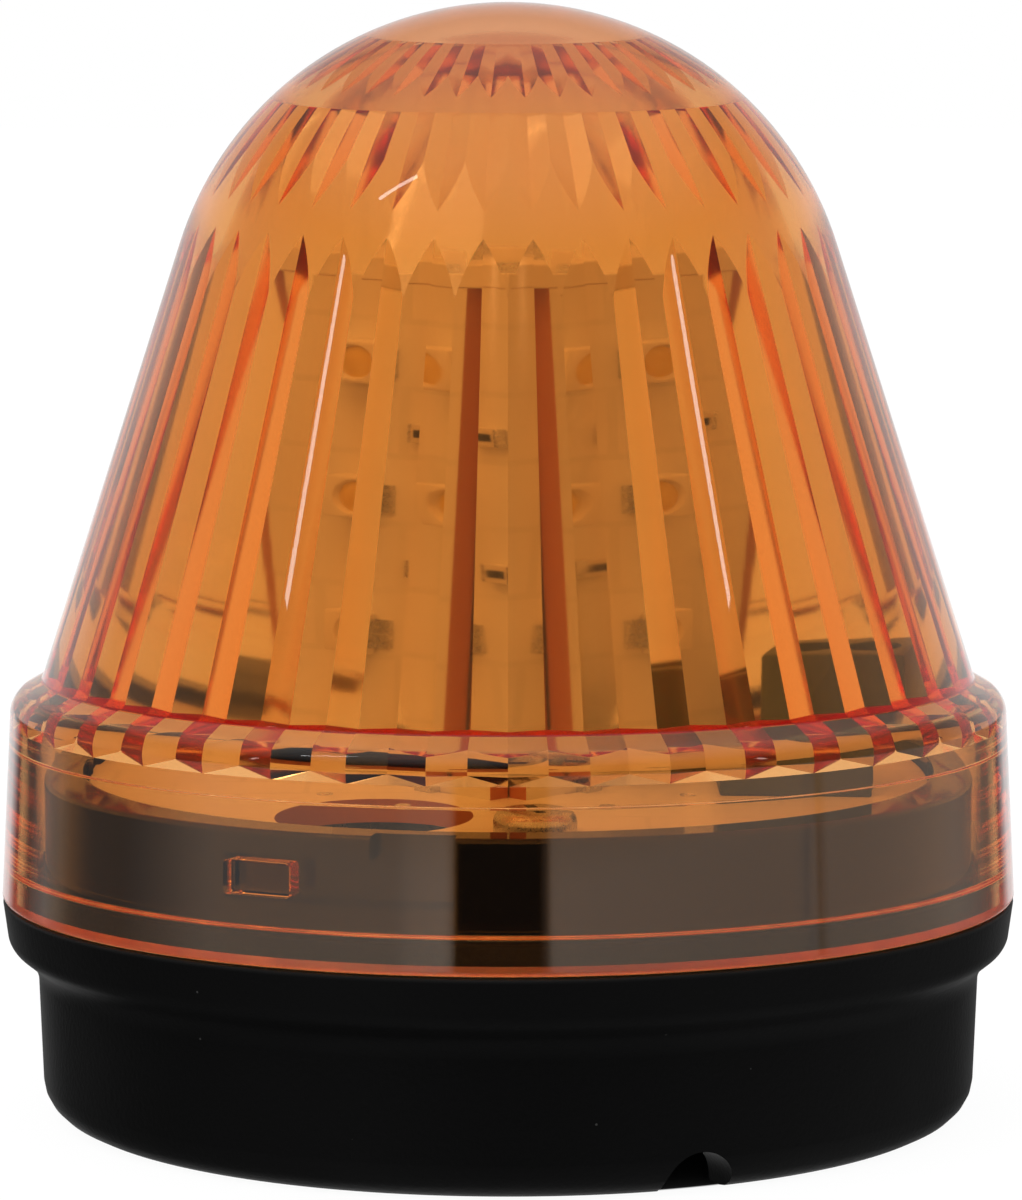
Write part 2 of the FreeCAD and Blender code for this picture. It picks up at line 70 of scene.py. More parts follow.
def turnZ(angle, size=3):
    return Matrix.Rotation(math.radians(angle), size, "Z")


def vertsOf(parts):
    return [part for part in parts if isinstance(part, bmesh.types.BMVert)]


def faceOut(bm):
    bmesh.ops.recalc_face_normals(bm, faces=bm.faces[:])


def mergeClose(bm, gap, thin):
    bmesh.ops.remove_doubles(bm, verts=bm.verts[:], dist=gap * mm)
    bmesh.ops.dissolve_degenerate(bm, edges=bm.edges[:], dist=thin * mm)
    faceOut(bm)


def bevelEdges(bm, edges, width, segments=2):
    bmesh.ops.bevel(bm, geom=edges, offset=width * mm, segments=segments, profile=0.5, affect="EDGES", material=-1)


def drawWire(bm, corners):
    # corners are (radius, height, round) in the XZ plane, a round of 0 stays sharp
    verts = [bm.verts.new((r * mm, 0, z * mm)) for r, z, size in corners]
    for a, b in zip(verts, verts[1:]):
        bm.edges.new((a, b))
    return verts


def addSupports(corners, gap=0.06):
    # points close beside each round, so that the long faces next to it keep their own normals
    spread = []
    for index, corner in enumerate(corners):
        if corner[2] == 0:
            spread.append(corner)
            continue
        here = Vector(corner[:2])
        before = Vector(corners[index - 1][:2]) - here
        after = Vector(corners[(index + 1) % len(corners)][:2]) - here
        reach = corner[2] * math.tan((math.pi - before.angle(after)) / 2) + gap
        if before.length > 2 * reach:
            spread.append((*(here + before.normalized() * reach), 0))
        spread.append(corner)
        if after.length > 2 * reach:
            spread.append((*(here + after.normalized() * reach), 0))
    return spread


def roundCorners(bm, verts, corners, segments=5):
    for vert, corner in zip(verts, corners):
        if corner[2] == 0:
            continue
        a, b = [edge.other_vert(vert).co - vert.co for edge in vert.link_edges]
        turn = math.pi - a.angle(b)
        bmesh.ops.bevel(bm, geom=[vert], offset=corner[2] * mm * math.tan(turn / 2), offset_type="OFFSET",
                        segments=segments, profile=0.5, affect="VERTICES", material=-1)


def spinVert(bm, vert, centre, angle, steps):
    # an arc of edges from a vertex, about a centre in the XZ plane
    done = bmesh.ops.spin(bm, geom=[vert], cent=centre, axis=(0, 1, 0), angle=angle, steps=steps)
    return vertsOf(done["geom_last"])[0]


def spinRound(bm, steps):
    bmesh.ops.spin(bm, geom=bm.verts[:] + bm.edges[:], cent=(0, 0, 0), axis=(0, 0, 1),
                   angle=2 * math.pi, steps=steps, use_merge=True)
    mergeClose(bm, *merging["spun"])


def turnedShell(corners, steps, segments=5):
    bm = bmesh.new()
    corners = addSupports(corners)
    verts = drawWire(bm, corners)
    if corners[0][0] > 0:
        bm.edges.new((verts[-1], verts[0]))
    roundCorners(bm, verts, corners, segments)
    spinRound(bm, steps)
    return bm


def addBox(bm, size, centre, turn=0.0):
    # a block centred on a point in millimetres, turned about the beacon's axis
    made = bmesh.ops.create_cube(bm, size=1.0)["verts"]
    bmesh.ops.scale(bm, vec=Vector(size) * mm, verts=made)
    bmesh.ops.translate(bm, vec=Vector(centre) * mm, verts=made)
    bmesh.ops.rotate(bm, cent=(0, 0, 0), matrix=turnZ(turn), verts=made)


def oneBox(size, centre, turn=0.0):
    bm = bmesh.new()
    addBox(bm, size, centre, turn)
    return bm


def addRod(bm, radius, low, high, place, segments=48, topRadius=None):
    made = bmesh.ops.create_cone(bm, cap_ends=True, segments=segments, radius1=radius * mm,
                                 radius2=(radius if topRadius is None else topRadius) * mm,
                                 depth=(high - low) * mm)["verts"]
    bmesh.ops.translate(bm, vec=Vector((place[0], place[1], (low + high) / 2)) * mm, verts=made)
    return made


def addSector(bm, innerRadius, outerRadius, low, high, start, end, steps=12):
    # block of a ring between two angles
    corners = [(innerRadius, low), (outerRadius, low), (outerRadius, high), (innerRadius, high)]
    verts = [bm.verts.new((r * mm, 0, z * mm)) for r, z in corners]
    face = bm.faces.new(verts)
    bmesh.ops.rotate(bm, cent=(0, 0, 0), matrix=turnZ(start), verts=verts)
    bmesh.ops.spin(bm, geom=[face], cent=(0, 0, 0), axis=(0, 0, 1), angle=math.radians(end - start), steps=steps)
    faceOut(bm)


def pushOutline(corners, length):
    # block along X from an outline in the YZ plane, with its corners in metres
    bm = bmesh.new()
    face = bm.faces.new([bm.verts.new(corner) for corner in corners])
    made = bmesh.ops.extrude_face_region(bm, geom=[face])["geom"]
    bmesh.ops.translate(bm, vec=(length * mm, 0, 0), verts=vertsOf(made))
    faceOut(bm)
    return bm


def polar(radius, angle):
    turn = math.radians(angle)
    return radius * math.cos(turn), radius * math.sin(turn)


def makePiece(name, bm, material=None, sharp=30.0, edge=0.0, segments=2):
    mesh = bpy.data.meshes.new(name)
    bm.to_mesh(mesh)
    bm.free()
    piece = bpy.data.objects.new(name, mesh)
    bpy.context.scene.collection.objects.link(piece)
    shadePiece(piece, sharp)
    if material:
        mesh.materials.append(material)
    if edge:
        bevelPiece(piece, edge, segments)
    return piece


def shadePiece(piece, sharp=30.0):
    piece.data.shade_smooth()
    piece.data.set_sharp_from_angle(angle=math.radians(sharp))


def bevelPiece(piece, width, segments=2):
    soften = piece.modifiers.new("softEdges", "BEVEL")
    soften.width = width * mm
    soften.segments = segments
    soften.profile = 0.5
    soften.limit_method = "ANGLE"
    soften.angle_limit = math.radians(bevelAngle)
    soften.harden_normals = False


def shapedMesh(piece):
    # the mesh of a piece with its modifiers applied
    bpy.context.view_layer.update()
    return bpy.data.meshes.new_from_object(piece.evaluated_get(bpy.context.evaluated_depsgraph_get()))


def combine(piece, tool, operation):
    # solid boolean, applied at once with its slivers merged, and the tool is used up
    cut = piece.modifiers.new(operation.lower(), "BOOLEAN")
    cut.operation = operation
    cut.object = tool
    cut.solver = "EXACT"
    shaped = shapedMesh(piece)
    piece.modifiers.remove(cut)
    if not shaped.polygons:
        raise ValueError("nothing left of " + piece.name)
    bm = bmesh.new()
    bm.from_mesh(shaped)
    mergeClose(bm, *merging["cut"])
    bm.to_mesh(shaped)
    bm.free()
    shaped.name = piece.name
    spare = piece.data
    piece.data = shaped
    bpy.data.meshes.remove(spare)
    bpy.data.meshes.remove(tool.data)


def takeMesh(piece):
    # the mesh of a template piece, without the piece
    mesh = shapedMesh(piece)
    bpy.data.objects.remove(piece)
    return mesh


def stamp(bm, mesh, matrix):
    # adds a copy of a mesh, moved by a matrix
    count = len(bm.verts)
    bm.from_mesh(mesh)
    bm.verts.ensure_lookup_table()
    bmesh.ops.transform(bm, matrix=matrix, verts=bm.verts[count:])


def fitPiece(piece, body, slot, *replaced):
    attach(piece, body)
    if replaced:
        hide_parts(*replaced)


# material tools, where an input is a socket to link or a constant

def newMaterial(name):
    material = bpy.data.materials.new(name)
    material.use_nodes = True
    tree = material.node_tree
    return material, tree, tree.nodes["Principled BSDF"]


def feed(tree, node, inputs):
    for key, value in inputs.items():
        if isinstance(value, bpy.types.NodeSocket):
            tree.links.new(value, node.inputs[key])
        else:
            node.inputs[key].default_value = value


def addNode(tree, kind, inputs=None, **settings):
    node = tree.nodes.new(kind)
    for key, value in settings.items():
        setattr(node, key, value)
    feed(tree, node, inputs or {})
    return node


def addMath(tree, operation, *values):
    return addNode(tree, "ShaderNodeMath", dict(enumerate(values)), operation=operation).outputs[0]


def addRange(tree, value, low, high, start=0.0, end=1.0):
    # spreads a value that runs from start to end between low and high
    return addNode(tree, "ShaderNodeMapRange", {"Value": value, "From Min": start, "From Max": end,
                                                "To Min": low, "To Max": high}).outputs[0]


def addMix(tree, factor, a, b):
    return addNode(tree, "ShaderNodeMix", {"Factor": factor, "A": a, "B": b}, data_type="FLOAT").outputs["Result"]


def mixColors(tree, factor, a, b):
    a, b = ((*color, 1) if isinstance(color, tuple) else color for color in (a, b))
    return addNode(tree, "ShaderNodeMix", {0: factor, 6: a, 7: b}, data_type="RGBA").outputs[2]


def mixSurface(tree, factor, shader, other):
    # the material's surface goes over to the other shader where the factor is 1
    mix = addNode(tree, "ShaderNodeMixShader", {0: factor, 1: shader.outputs[0], 2: other.outputs[0]})
    feed(tree, tree.nodes["Material Output"], {"Surface": mix.outputs[0]})


def axesOf(tree, kind="Object"):
    place = addNode(tree, "ShaderNodeTexCoord").outputs[kind]
    return addNode(tree, "ShaderNodeSeparateXYZ", {0: place}).outputs


def makeGroup(name, inputs, outputs):
    group = bpy.data.node_groups.new(name, "ShaderNodeTree")
    for label, value in inputs.items():
        socket = group.interface.new_socket(label, in_out="INPUT", socket_type="NodeSocketFloat")
        socket.default_value = value
    for label, kind in outputs.items():
        group.interface.new_socket(label, in_out="OUTPUT", socket_type=kind)
    return group, group.nodes.new("NodeGroupInput").outputs, group.nodes.new("NodeGroupOutput")


# lens

lens = {
    "steps": 240, "domeSteps": 36, "panelSteps": 14, "roundSteps": 10, "sharp": 10.0,
    "collarFoot": 35.0, "rimGap": 0.15, "edgeBreak": 0.25, "collarWall": 2.1, "collarDraft": 3.0,
    "collarHeight": 13.92,
    "shoulderWidth": 2.15, "shoulderRise": 1.2, "shoulderRound": 1.75, "creaseRound": 0.3,
    "shelfDrop": 1.55, "shelfRise": 1.4, "domeRadius": 23.62, "wall": 2.0,
    "rebateHeight": 2.5, "rebateDepth": 0.9, "rimChamfer": 0.55, "landHeight": 10.7, "landDepth": 0.35,
    "landRound": 0.15, "stepRound": 0.12, "rebateRound": 0.2,
    "ribCount": 40, "ribFoot": 12.0, "ribStart": 0.65, "shortInset": 0.15, "shortDepth": 0.8, "ribDepth": 0.69,
    "panelFoot": 13.5, "lowerEnd": 25.4, "middleTip": 26.5, "middleRing": 46.5, "topTip": 50.0,
    "topRing": 65.4, "panelBulge": 0.4, "topBulge": 0.2, "middleStep": 0.55, "middleDepth": 0.38,
    "topStep": 0.6, "topDepth": 0.34,
    "lugCount": 3, "lugAngle": frontAngle - 28.7, "lugWidth": 4.8, "lugHeight": 2.25, "lugLevel": 4.4,
    "lugReach": 1.55, "lugRound": 0.3, "lugCorner": 1.0, "lugInset": 1.0, "overlap": 0.02, "facetTilt": 0.05,
    "rimFrost": 0.25, "ribFrost": 0.055,
}
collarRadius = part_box("lens")[1].x / mm
collarBore = lens["collarFoot"] - lens["collarWall"]
shoulderLevel = partingLevel + lens["collarHeight"]
creaseLevel = shoulderLevel + lens["shoulderRise"]
shelfFoot = creaseLevel - lens["shelfDrop"]
shelfLevel = shelfFoot + lens["shelfRise"]
domeCentre = lensApex - lens["domeRadius"]
collarTopRadius = lens["collarFoot"] - lens["collarHeight"] * math.tan(math.radians(lens["collarDraft"]))
coneFoot = collarTopRadius - lens["shoulderWidth"]


def coneAngle():
    # half angle of the cone that leaves the shoulder and runs tangent into the dome
    rise = domeCentre - creaseLevel
    return math.atan2(coneFoot, rise) - math.asin(lens["domeRadius"] / math.hypot(coneFoot, rise))


def valleyRadius(level):
    slope = coneAngle()
    cone = (lens["domeRadius"] + (domeCentre - level) * math.sin(slope)) / math.cos(slope)
    return cone - lens["wall"] / math.cos(slope)


def innerPoint(angle):
    # point on the inner dome at an elevation angle seen from the dome's centre
    radius = lens["domeRadius"] - lens["wall"]
    turn = math.radians(angle)
    return Vector((radius * math.cos(turn), 0, domeCentre + radius * math.sin(turn)))


def arcThrough(start, end, bulge):
    # centre, radius and angle of an arc that stands out from its chord by the bulge
    chord = end - start
    half = chord.length / 2
    radius = (half ** 2 + bulge ** 2) / (2 * bulge)
    outward = Vector((chord.z, 0, -chord.x)).normalized()
    return (start + end) / 2 - outward * (radius - bulge), radius, 4 * math.atan(bulge / half)


def lensOutside():
    rim = partingLevel + lens["rimGap"]
    rebate = collarBore + lens["rebateDepth"]
    rebateTop = partingLevel + lens["rebateHeight"]
    land = partingLevel + lens["landHeight"]
    landRadius = collarBore - lens["landDepth"]
    ribFoot = partingLevel + lens["ribFoot"]
    slope = coneAngle()
    tangent = (lens["domeRadius"] * math.cos(slope), domeCentre + lens["domeRadius"] * math.sin(slope))
    corners = [
        (0, ribFoot, 0), (landRadius, ribFoot, 0), (landRadius, land, 0), (collarBore, land, lens["landRound"]),
        (collarBore, rebateTop, lens["stepRound"]), (rebate, rebateTop, lens["rebateRound"]),
        (rebate, rim + lens["rimChamfer"], 0),
        (rebate + lens["rimChamfer"], rim, 0), (collarRadius, rim, lens["edgeBreak"]),
        (collarTopRadius, shoulderLevel, lens["shoulderRound"]), (coneFoot, creaseLevel, lens["creaseRound"]),
        (tangent[0], tangent[1], 0),
    ]
    bm = bmesh.new()
    corners = addSupports(corners)
    verts = drawWire(bm, corners)
    spinVert(bm, verts[-1], (0, 0, domeCentre * mm), slope - math.pi / 2, lens["domeSteps"])
    roundCorners(bm, verts, corners, lens["roundSteps"])
    spinRound(bm, lens["steps"])
    return bm


def lensInnerDome():
    # smooth inner form: three curved panels with a ring between them
    foot = innerPoint(lens["panelFoot"])
    rings = [foot, innerPoint(lens["middleRing"]), innerPoint(lens["topRing"])]
    apex = lensApex - lens["wall"]
    drop = apex - rings[2].z
    capRadius = (rings[2].x ** 2 + drop ** 2) / (2 * drop)
    spans = [arcThrough(rings[0], rings[1], lens["panelBulge"]), arcThrough(rings[1], rings[2], lens["topBulge"])]
    spans.append((Vector((0, 0, apex - capRadius)), capRadius, math.asin(rings[2].x / capRadius)))
    chord = rings[1] - rings[0]
    lean = math.atan2(-chord.x, chord.z) - spans[0][2] / 2
    low = partingLevel + lens["ribFoot"] - 5 * lens["overlap"]
    wide = foot.x + (foot.z - low) * math.tan(lean)
    bm = bmesh.new()
    last = drawWire(bm, [(0, low, 0), (wide, low, 0), (foot.x, foot.z, 0)])[-1]
    for centre, radius, angle in spans:
        last = spinVert(bm, last, centre * mm, -angle, lens["panelSteps"])
    spinRound(bm, lens["steps"])
    return bm, spans


def tierCrests(span, tipAngle, ringAngle, startAngle, step):
    # crest radius where a tier starts and at its ring: ribs run out to points on the panel below the ring
    centre, radius = span[:2]
    tip = innerPoint(tipAngle).z
    ring = innerPoint(ringAngle)
    tipRadius = centre.x + math.sqrt(radius ** 2 - (tip - centre.z) ** 2)
    crest = ring.x - step
    growth = (tipRadius - crest) / (ring.z - tip)
    start = innerPoint(startAngle).z
    return (start, crest + growth * (ring.z - start)), (ring.z, crest)


def splitFeet(bm, level):
    # the foot of each short rib ends in a sloped triangle, from the valleys' feet up to the crest
    for face in [face for face in bm.faces if len(face.verts) == 4]:
        corners = face.verts[:]
        crest = min((vert for vert in corners if vert.co.z > level - mm / 10), key=lambda vert: vert.co.xy.length)
        bmesh.utils.face_split(face, crest, corners[corners.index(crest) - 2])


def lensRibbedCore(spans):
    # zigzag sections stacked from the foot of the short ribs to the cap, every facet flat
    ribFoot = partingLevel + lens["ribFoot"] - lens["overlap"]
    shortCrest = collarBore - lens["shortInset"] - lens["shortDepth"]
    lowerEnd = innerPoint(lens["lowerEnd"]).z
    shelfCrest = valleyRadius(shelfLevel) - lens["ribDepth"]
    taper = valleyRadius(lowerEnd) / valleyRadius(shelfLevel)
    middle = tierCrests(spans[0], lens["middleTip"], lens["middleRing"], lens["lowerEnd"], lens["middleStep"])
    top = tierCrests(spans[1], lens["topTip"], lens["topRing"], lens["middleRing"], lens["topStep"])
    sections = []
    for ends, depth in (
        (((ribFoot, collarBore - lens["landDepth"]),), 0.0),
        (((ribFoot + lens["ribStart"], shortCrest), (shelfFoot, shortCrest)), lens["shortDepth"] / shortCrest),
        (((shelfLevel, shelfCrest), (lowerEnd, shelfCrest * taper)), lens["ribDepth"] / shelfCrest),
        (middle, lens["middleDepth"] / middle[1][1]),
        (top, lens["topDepth"] / top[1][1]),
        (((top[1][0], collarBore), (lensApex, collarBore)), 0.0),
    ):
        sections += [(level, crest, depth) for level, crest in ends]
    bm = bmesh.new()
    ring = bmesh.ops.create_circle(bm, cap_ends=True, segments=2 * lens["ribCount"], radius=1.0)["verts"]
    pitch = 360.0 / len(ring)
    for index, (level, crest, depth) in enumerate(sections):
        if index:
            edges = [edge for edge in bm.edges if all(vert in ring for vert in edge.verts)]
            made = bmesh.ops.extrude_edge_only(bm, edges=edges)["geom"]
            ring = vertsOf(made)
        for vert in ring:
            angle = round((math.degrees(math.atan2(vert.co.y, vert.co.x)) - frontAngle) / pitch) * pitch
            valley = round(angle / pitch) % 2 == 0
            x, y = polar(crest * (1 + depth) if valley else crest, frontAngle + angle)
            vert.co = Vector((x, y, level)) * mm
        if index == 1:
            splitFeet(bm, level * mm)
    rim = [edge for edge in bm.edges if len(edge.link_faces) == 1]
    bmesh.ops.contextual_create(bm, geom=rim)
    faceOut(bm)
    return bm


def lensLugs():
    bm = bmesh.new()
    low = partingLevel + lens["lugLevel"]
    half = math.degrees(lens["lugWidth"] / 2 / collarBore)
    for index in range(lens["lugCount"]):
        middle = lens["lugAngle"] + index * 360.0 / lens["lugCount"]
        addSector(bm, collarBore - lens["lugReach"], collarBore + lens["collarWall"] / 2, low,
                  low + lens["lugHeight"], middle - half, middle + half)
    inside = (collarBore - lens["lugInset"]) * mm
    edges = [edge for edge in bm.edges if edge.calc_face_angle(0.0) > lens["lugCorner"]
             and any(vert.co.xy.length < inside for vert in edge.verts)]
    bevelEdges(bm, edges, lens["lugRound"], 3)
    return bm


def markLens(mesh):
    # rib facets are shaded flat, and the frosted rim and the ribbed inside are marked
    frost = mesh.attributes.new("frost", "FLOAT", "FACE")
    foot = (partingLevel + lens["ribFoot"]) * mm
    rim = (partingLevel + lens["rimGap"] + lens["rimChamfer"]) * mm
    for face in mesh.polygons:
        across = Vector((-face.center.y, face.center.x, 0)).normalized()
        if abs(face.normal.dot(across)) > lens["facetTilt"]:
            face.use_smooth = False
        outward = face.center - Vector((0, 0, min(face.center.z, domeCentre * mm)))
        if face.center.z < rim:
            frost.data[face.index].value = lens["rimFrost"]
        elif face.center.z > foot and face.normal.dot(outward) < 0:
            frost.data[face.index].value = lens["ribFrost"]


def buildLens(material):
    dome, spans = lensInnerDome()
    cavity = makePiece("lensCavity", lensRibbedCore(spans))
    combine(cavity, makePiece("lensDome", dome), "INTERSECT")
    piece = makePiece("lensShell", lensOutside(), material)
    combine(piece, cavity, "DIFFERENCE")
    combine(piece, makePiece("lensLugs", lensLugs()), "UNION")
    shadePiece(piece, lens["sharp"])
    markLens(piece.data)
    fitPiece(piece, "lens", "lens_amber", "lens")
    print("lens: %d faces" % len(piece.data.polygons))
amber = {"tint": (0.868, 0.59, 0.274), "cap": (68.0, 74.0), "capTint": (0.755, 0.44, 0.238), "veil": 0.07,
         "loss": (2.0, 70.0, 150.0), "density": 900.0, "shadow": (1.0, 0.86, 0.63), "index": 1.585,
         "rough": (0.006, 0.022), "patch": 160.0, "grain": 2600.0, "relief": 0.0}


def amberPlastic():
    # the colour comes half from the surface, deeper at the cap, and half from the plastic that the light crosses
    material, tree, shader = newMaterial("amberPlastic")
    low, high = (level * mm for level in amber["cap"])
    rise = addRange(tree, axesOf(tree)["Z"], 0.0, 1.0, low, high)
    frost = addNode(tree, "ShaderNodeAttribute", attribute_name="frost").outputs["Fac"]
    wear = addRange(tree, addGrain(tree, amber)["Patch"], *amber["rough"])
    feed(tree, shader, {
        "Transmission Weight": 1.0, "IOR": amber["index"], "Sheen Weight": amber["veil"],
        "Base Color": mixColors(tree, rise, amber["tint"], amber["capTint"]),
        "Roughness": addMath(tree, "ADD", frost, wear)})
    clear = addNode(tree, "ShaderNodeBsdfTransparent", {"Color": (*amber["shadow"], 1)})
    mixSurface(tree, addNode(tree, "ShaderNodeLightPath").outputs["Is Shadow Ray"], shader, clear)
    kept = [1 - loss / amber["density"] for loss in amber["loss"]]
    depth = addNode(tree, "ShaderNodeVolumeAbsorption", {"Color": (*kept, 1), "Density": amber["density"]})
    feed(tree, tree.nodes["Material Output"], {"Volume": depth.outputs[0]})
    return material


# base housing

base = {
    "steps": 192, "sharp": 24.0, "flangeRadius": 34.95, "flangeDraft": 0.42, "bodyTop": 32.55, "bodyFoot": 32.15,
    "flangeDepth": 4.66, "flangeRise": 1.6, "edgeRound": 1.35, "cove": 2.0, "edgeBreak": 0.22, "footRound": 2.5,
    "recessRadius": 28.05, "recess": 3.0, "floor": 5.0, "spigot": 32.3, "cup": 29.5, "cupRound": 1.0,
    "rimRound": 0.3, "seatRound": 0.15, "bite": 0.1, "spare": 1.0,
    "ribCount": 8, "ribThick": 1.2, "ribFoot": 0.6, "ribStart": 8.1, "ribReach": 0.8, "ribBite": 1.0,
    "postCount": 3, "postAngle": 34.0, "postCircle": 24.8, "postRadius": 3.0, "pilot": 1.2, "pilotDepth": 6.8,
    "fixingCircle": 20.0, "fixingAngle": frontAngle - 26.0, "fixingHole": 2.25, "bossRadius": 4.85, "bossTop": 6.2,
    "grommetHole": 5.5, "notchAngle": frontAngle + 22.85, "notchRadius": 2.4, "notchSide": 0.45,
    "notchSteps": 32, "notchInset": 1.6,
    "slotFloor": 31.0, "slotGap": 0.35, "twist": 18.0,
}


def postPlaces():
    return [polar(base["postCircle"], base["postAngle"] + index * 360.0 / base["postCount"])
            for index in range(base["postCount"])]


def fixingPlaces():
    return [polar(base["fixingCircle"], base["fixingAngle"] + turn) for turn in (0.0, 180.0)]


def baseOutline():
    underside = partingLevel - base["flangeDepth"]
    edge = base["flangeRadius"] - base["flangeDraft"]
    return [
        (0, base["recess"], 0), (base["recessRadius"], base["recess"], base["rimRound"]),
        (base["recessRadius"], 0, base["rimRound"]),
        (base["bodyFoot"], 0, base["footRound"]), (base["bodyTop"], underside, base["cove"]),
        (edge, underside + base["flangeRise"], base["edgeRound"]),
        (base["flangeRadius"], partingLevel, base["edgeBreak"]),
        (base["spigot"], partingLevel, base["seatRound"]),
        (base["spigot"], spigotTop, base["rimRound"]), (base["cup"], spigotTop, base["rimRound"]),
        (base["cup"], base["floor"], base["cupRound"]), (0, base["floor"], 0),
    ]


def baseAdds():
    bm = bmesh.new()
    for place in postPlaces():
        addRod(bm, base["postRadius"], base["recess"] + base["bite"], boardBottom, place)
    for place in fixingPlaces():
        addRod(bm, base["bossRadius"], base["recess"] + base["bite"], base["bossTop"], place)
    reach = base["recessRadius"] - base["ribStart"] + base["ribReach"]
    top = base["recess"] + base["ribBite"]
    for index in range(base["ribCount"]):
        turn = base["fixingAngle"] + (index + 0.5) * 360.0 / base["ribCount"]
        addBox(bm, (reach, base["ribThick"], top - base["ribFoot"]),
               (base["ribStart"] + reach / 2, 0, (top + base["ribFoot"]) / 2), turn)
    return bm


def baseCuts():
    bm = bmesh.new()
    addRod(bm, base["grommetHole"], -base["spare"], base["bossTop"] + base["spare"], (0, 0))
    for place in fixingPlaces():
        addRod(bm, base["fixingHole"], -base["spare"], base["bossTop"] + base["spare"], place)
    for place in postPlaces():
        addRod(bm, base["pilot"], boardBottom - base["pilotDepth"], boardBottom + base["spare"], place, 24)
    return bm


def notchCut():
    # arched way under the foot ring
    radius, side = base["notchRadius"], base["notchSide"]
    turns = [math.pi * step / base["notchSteps"] for step in range(base["notchSteps"] + 1)]
    arch = [(radius * math.cos(turn), side + radius * math.sin(turn)) for turn in turns]
    outline = [(radius, -base["spare"])] + arch + [(-radius, -base["spare"])]
    start = base["recessRadius"] - base["notchInset"]
    bm = pushOutline([(start * mm, y * mm, z * mm) for y, z in outline], base["flangeRadius"])
    bmesh.ops.rotate(bm, cent=(0, 0, 0), matrix=turnZ(base["notchAngle"]), verts=bm.verts[:])
    return bm


def baySlots():
    # locking grooves for the lugs, and their entry channels from the top of the spigot
    grooves, channels = bmesh.new(), bmesh.new()
    low = partingLevel + lens["lugLevel"] - base["slotGap"]
    high = low + lens["lugHeight"] + 2 * base["slotGap"]
    half = math.degrees((lens["lugWidth"] / 2 + base["slotGap"]) / collarBore)
    for index in range(lens["lugCount"]):
        locked = lens["lugAngle"] + index * 360.0 / lens["lugCount"]
        turned = locked + base["twist"]
        addSector(grooves, base["slotFloor"], collarBore, low, high, locked - half, turned)
        addSector(channels, base["slotFloor"], collarBore, low, spigotTop + base["spare"], turned - half,
                  turned + half)
    return grooves, channels


def buildBase(material):
    piece = makePiece("baseShell", turnedShell(baseOutline(), base["steps"]), material)
    combine(piece, makePiece("baseAdds", baseAdds()), "UNION")
    combine(piece, makePiece("baseCuts", baseCuts()), "DIFFERENCE")
    combine(piece, makePiece("notchCut", notchCut()), "DIFFERENCE")
    for slots in baySlots():
        combine(piece, makePiece("baseSlots", slots), "DIFFERENCE")
    shadePiece(piece, base["sharp"])
    fitPiece(piece, "base", "base_black", "base_housing")
    print("base: %d faces" % len(piece.data.polygons))

# seal and grommet

seal = {"steps": 160, "segments": 3, "sharp": 40.0, "inner": 32.3, "outer": 33.5, "height": 2.0, "groove": 0.35,
        "lipRound": 0.18, "edgeRound": 0.1}
grommet = {"steps": 64, "segments": 4, "sharp": 40.0, "bore": 3.0, "neck": 5.6, "lip": 7.3, "upperLip": 4.8,
           "round": 0.55, "lipRound": 0.2, "boreRound": 0.3}


def buildSeal(material):
    top = partingLevel + seal["height"]
    middle = (seal["inner"] + seal["outer"]) / 2
    quarter = (seal["outer"] - seal["inner"]) / 4
    edge, lip = seal["edgeRound"], seal["lipRound"]
    corners = [
        (seal["inner"], partingLevel, 0), (seal["outer"], partingLevel, edge), (seal["outer"], top, lip),
        (middle + quarter, top, lip), (middle, top - seal["groove"], edge), (middle - quarter, top, lip),
        (seal["inner"], top, edge),
    ]
    bm = turnedShell(corners, seal["steps"], seal["segments"])
    fitPiece(makePiece("sealRing", bm, material, seal["sharp"]), "base", "seal_rubber", "lens_seal")


def buildGrommet(material):
    low, high = levelsOf("cable_grommet")
    bore, neck, lip = grommet["bore"], grommet["neck"], grommet["lip"]
    corners = [
        (bore, low, 0), (lip, low, grommet["round"]), (lip, base["recess"], grommet["lipRound"]),
        (neck, base["recess"], 0), (neck, base["floor"], 0), (lip, base["floor"], grommet["lipRound"]),
        (grommet["upperLip"], high, grommet["round"]), (bore, high, grommet["boreRound"]),
    ]
    bm = turnedShell(corners, grommet["steps"], grommet["segments"])
    fitPiece(makePiece("cableGrommet", bm, material, grommet["sharp"]), "base", "seal_rubber", "cable_grommet")
    print("seal and grommet done")


# boards

board = {"radius": 29.2, "thick": 1.6, "steps": 128, "edge": 0.12, "access": 6.5, "screwHole": 1.7, "spare": 1.0,
         "tabWidth": 8.24, "slotThick": 1.84, "slotDepth": 4.0, "edgeOn": 0.5, "padEdge": 0.12, "padLift": 0.04,
         "via": 0.55, "viaCount": 14, "viaCircle": 15.6, "viaStart": 12.0,
         "joint": (1.0, 1.6, 0.5), "jointOut": 0.4, "jointSide": 2.2, "jointLift": 0.2}
tower = {"side": 19.0, "width": 15.6, "tab": 8.0, "tabLength": 2.4, "tabBite": 1.0, "tabGap": 0.01,
         "turns": (315.0, 45.0, 135.0, 225.0), "edge": 0.1}


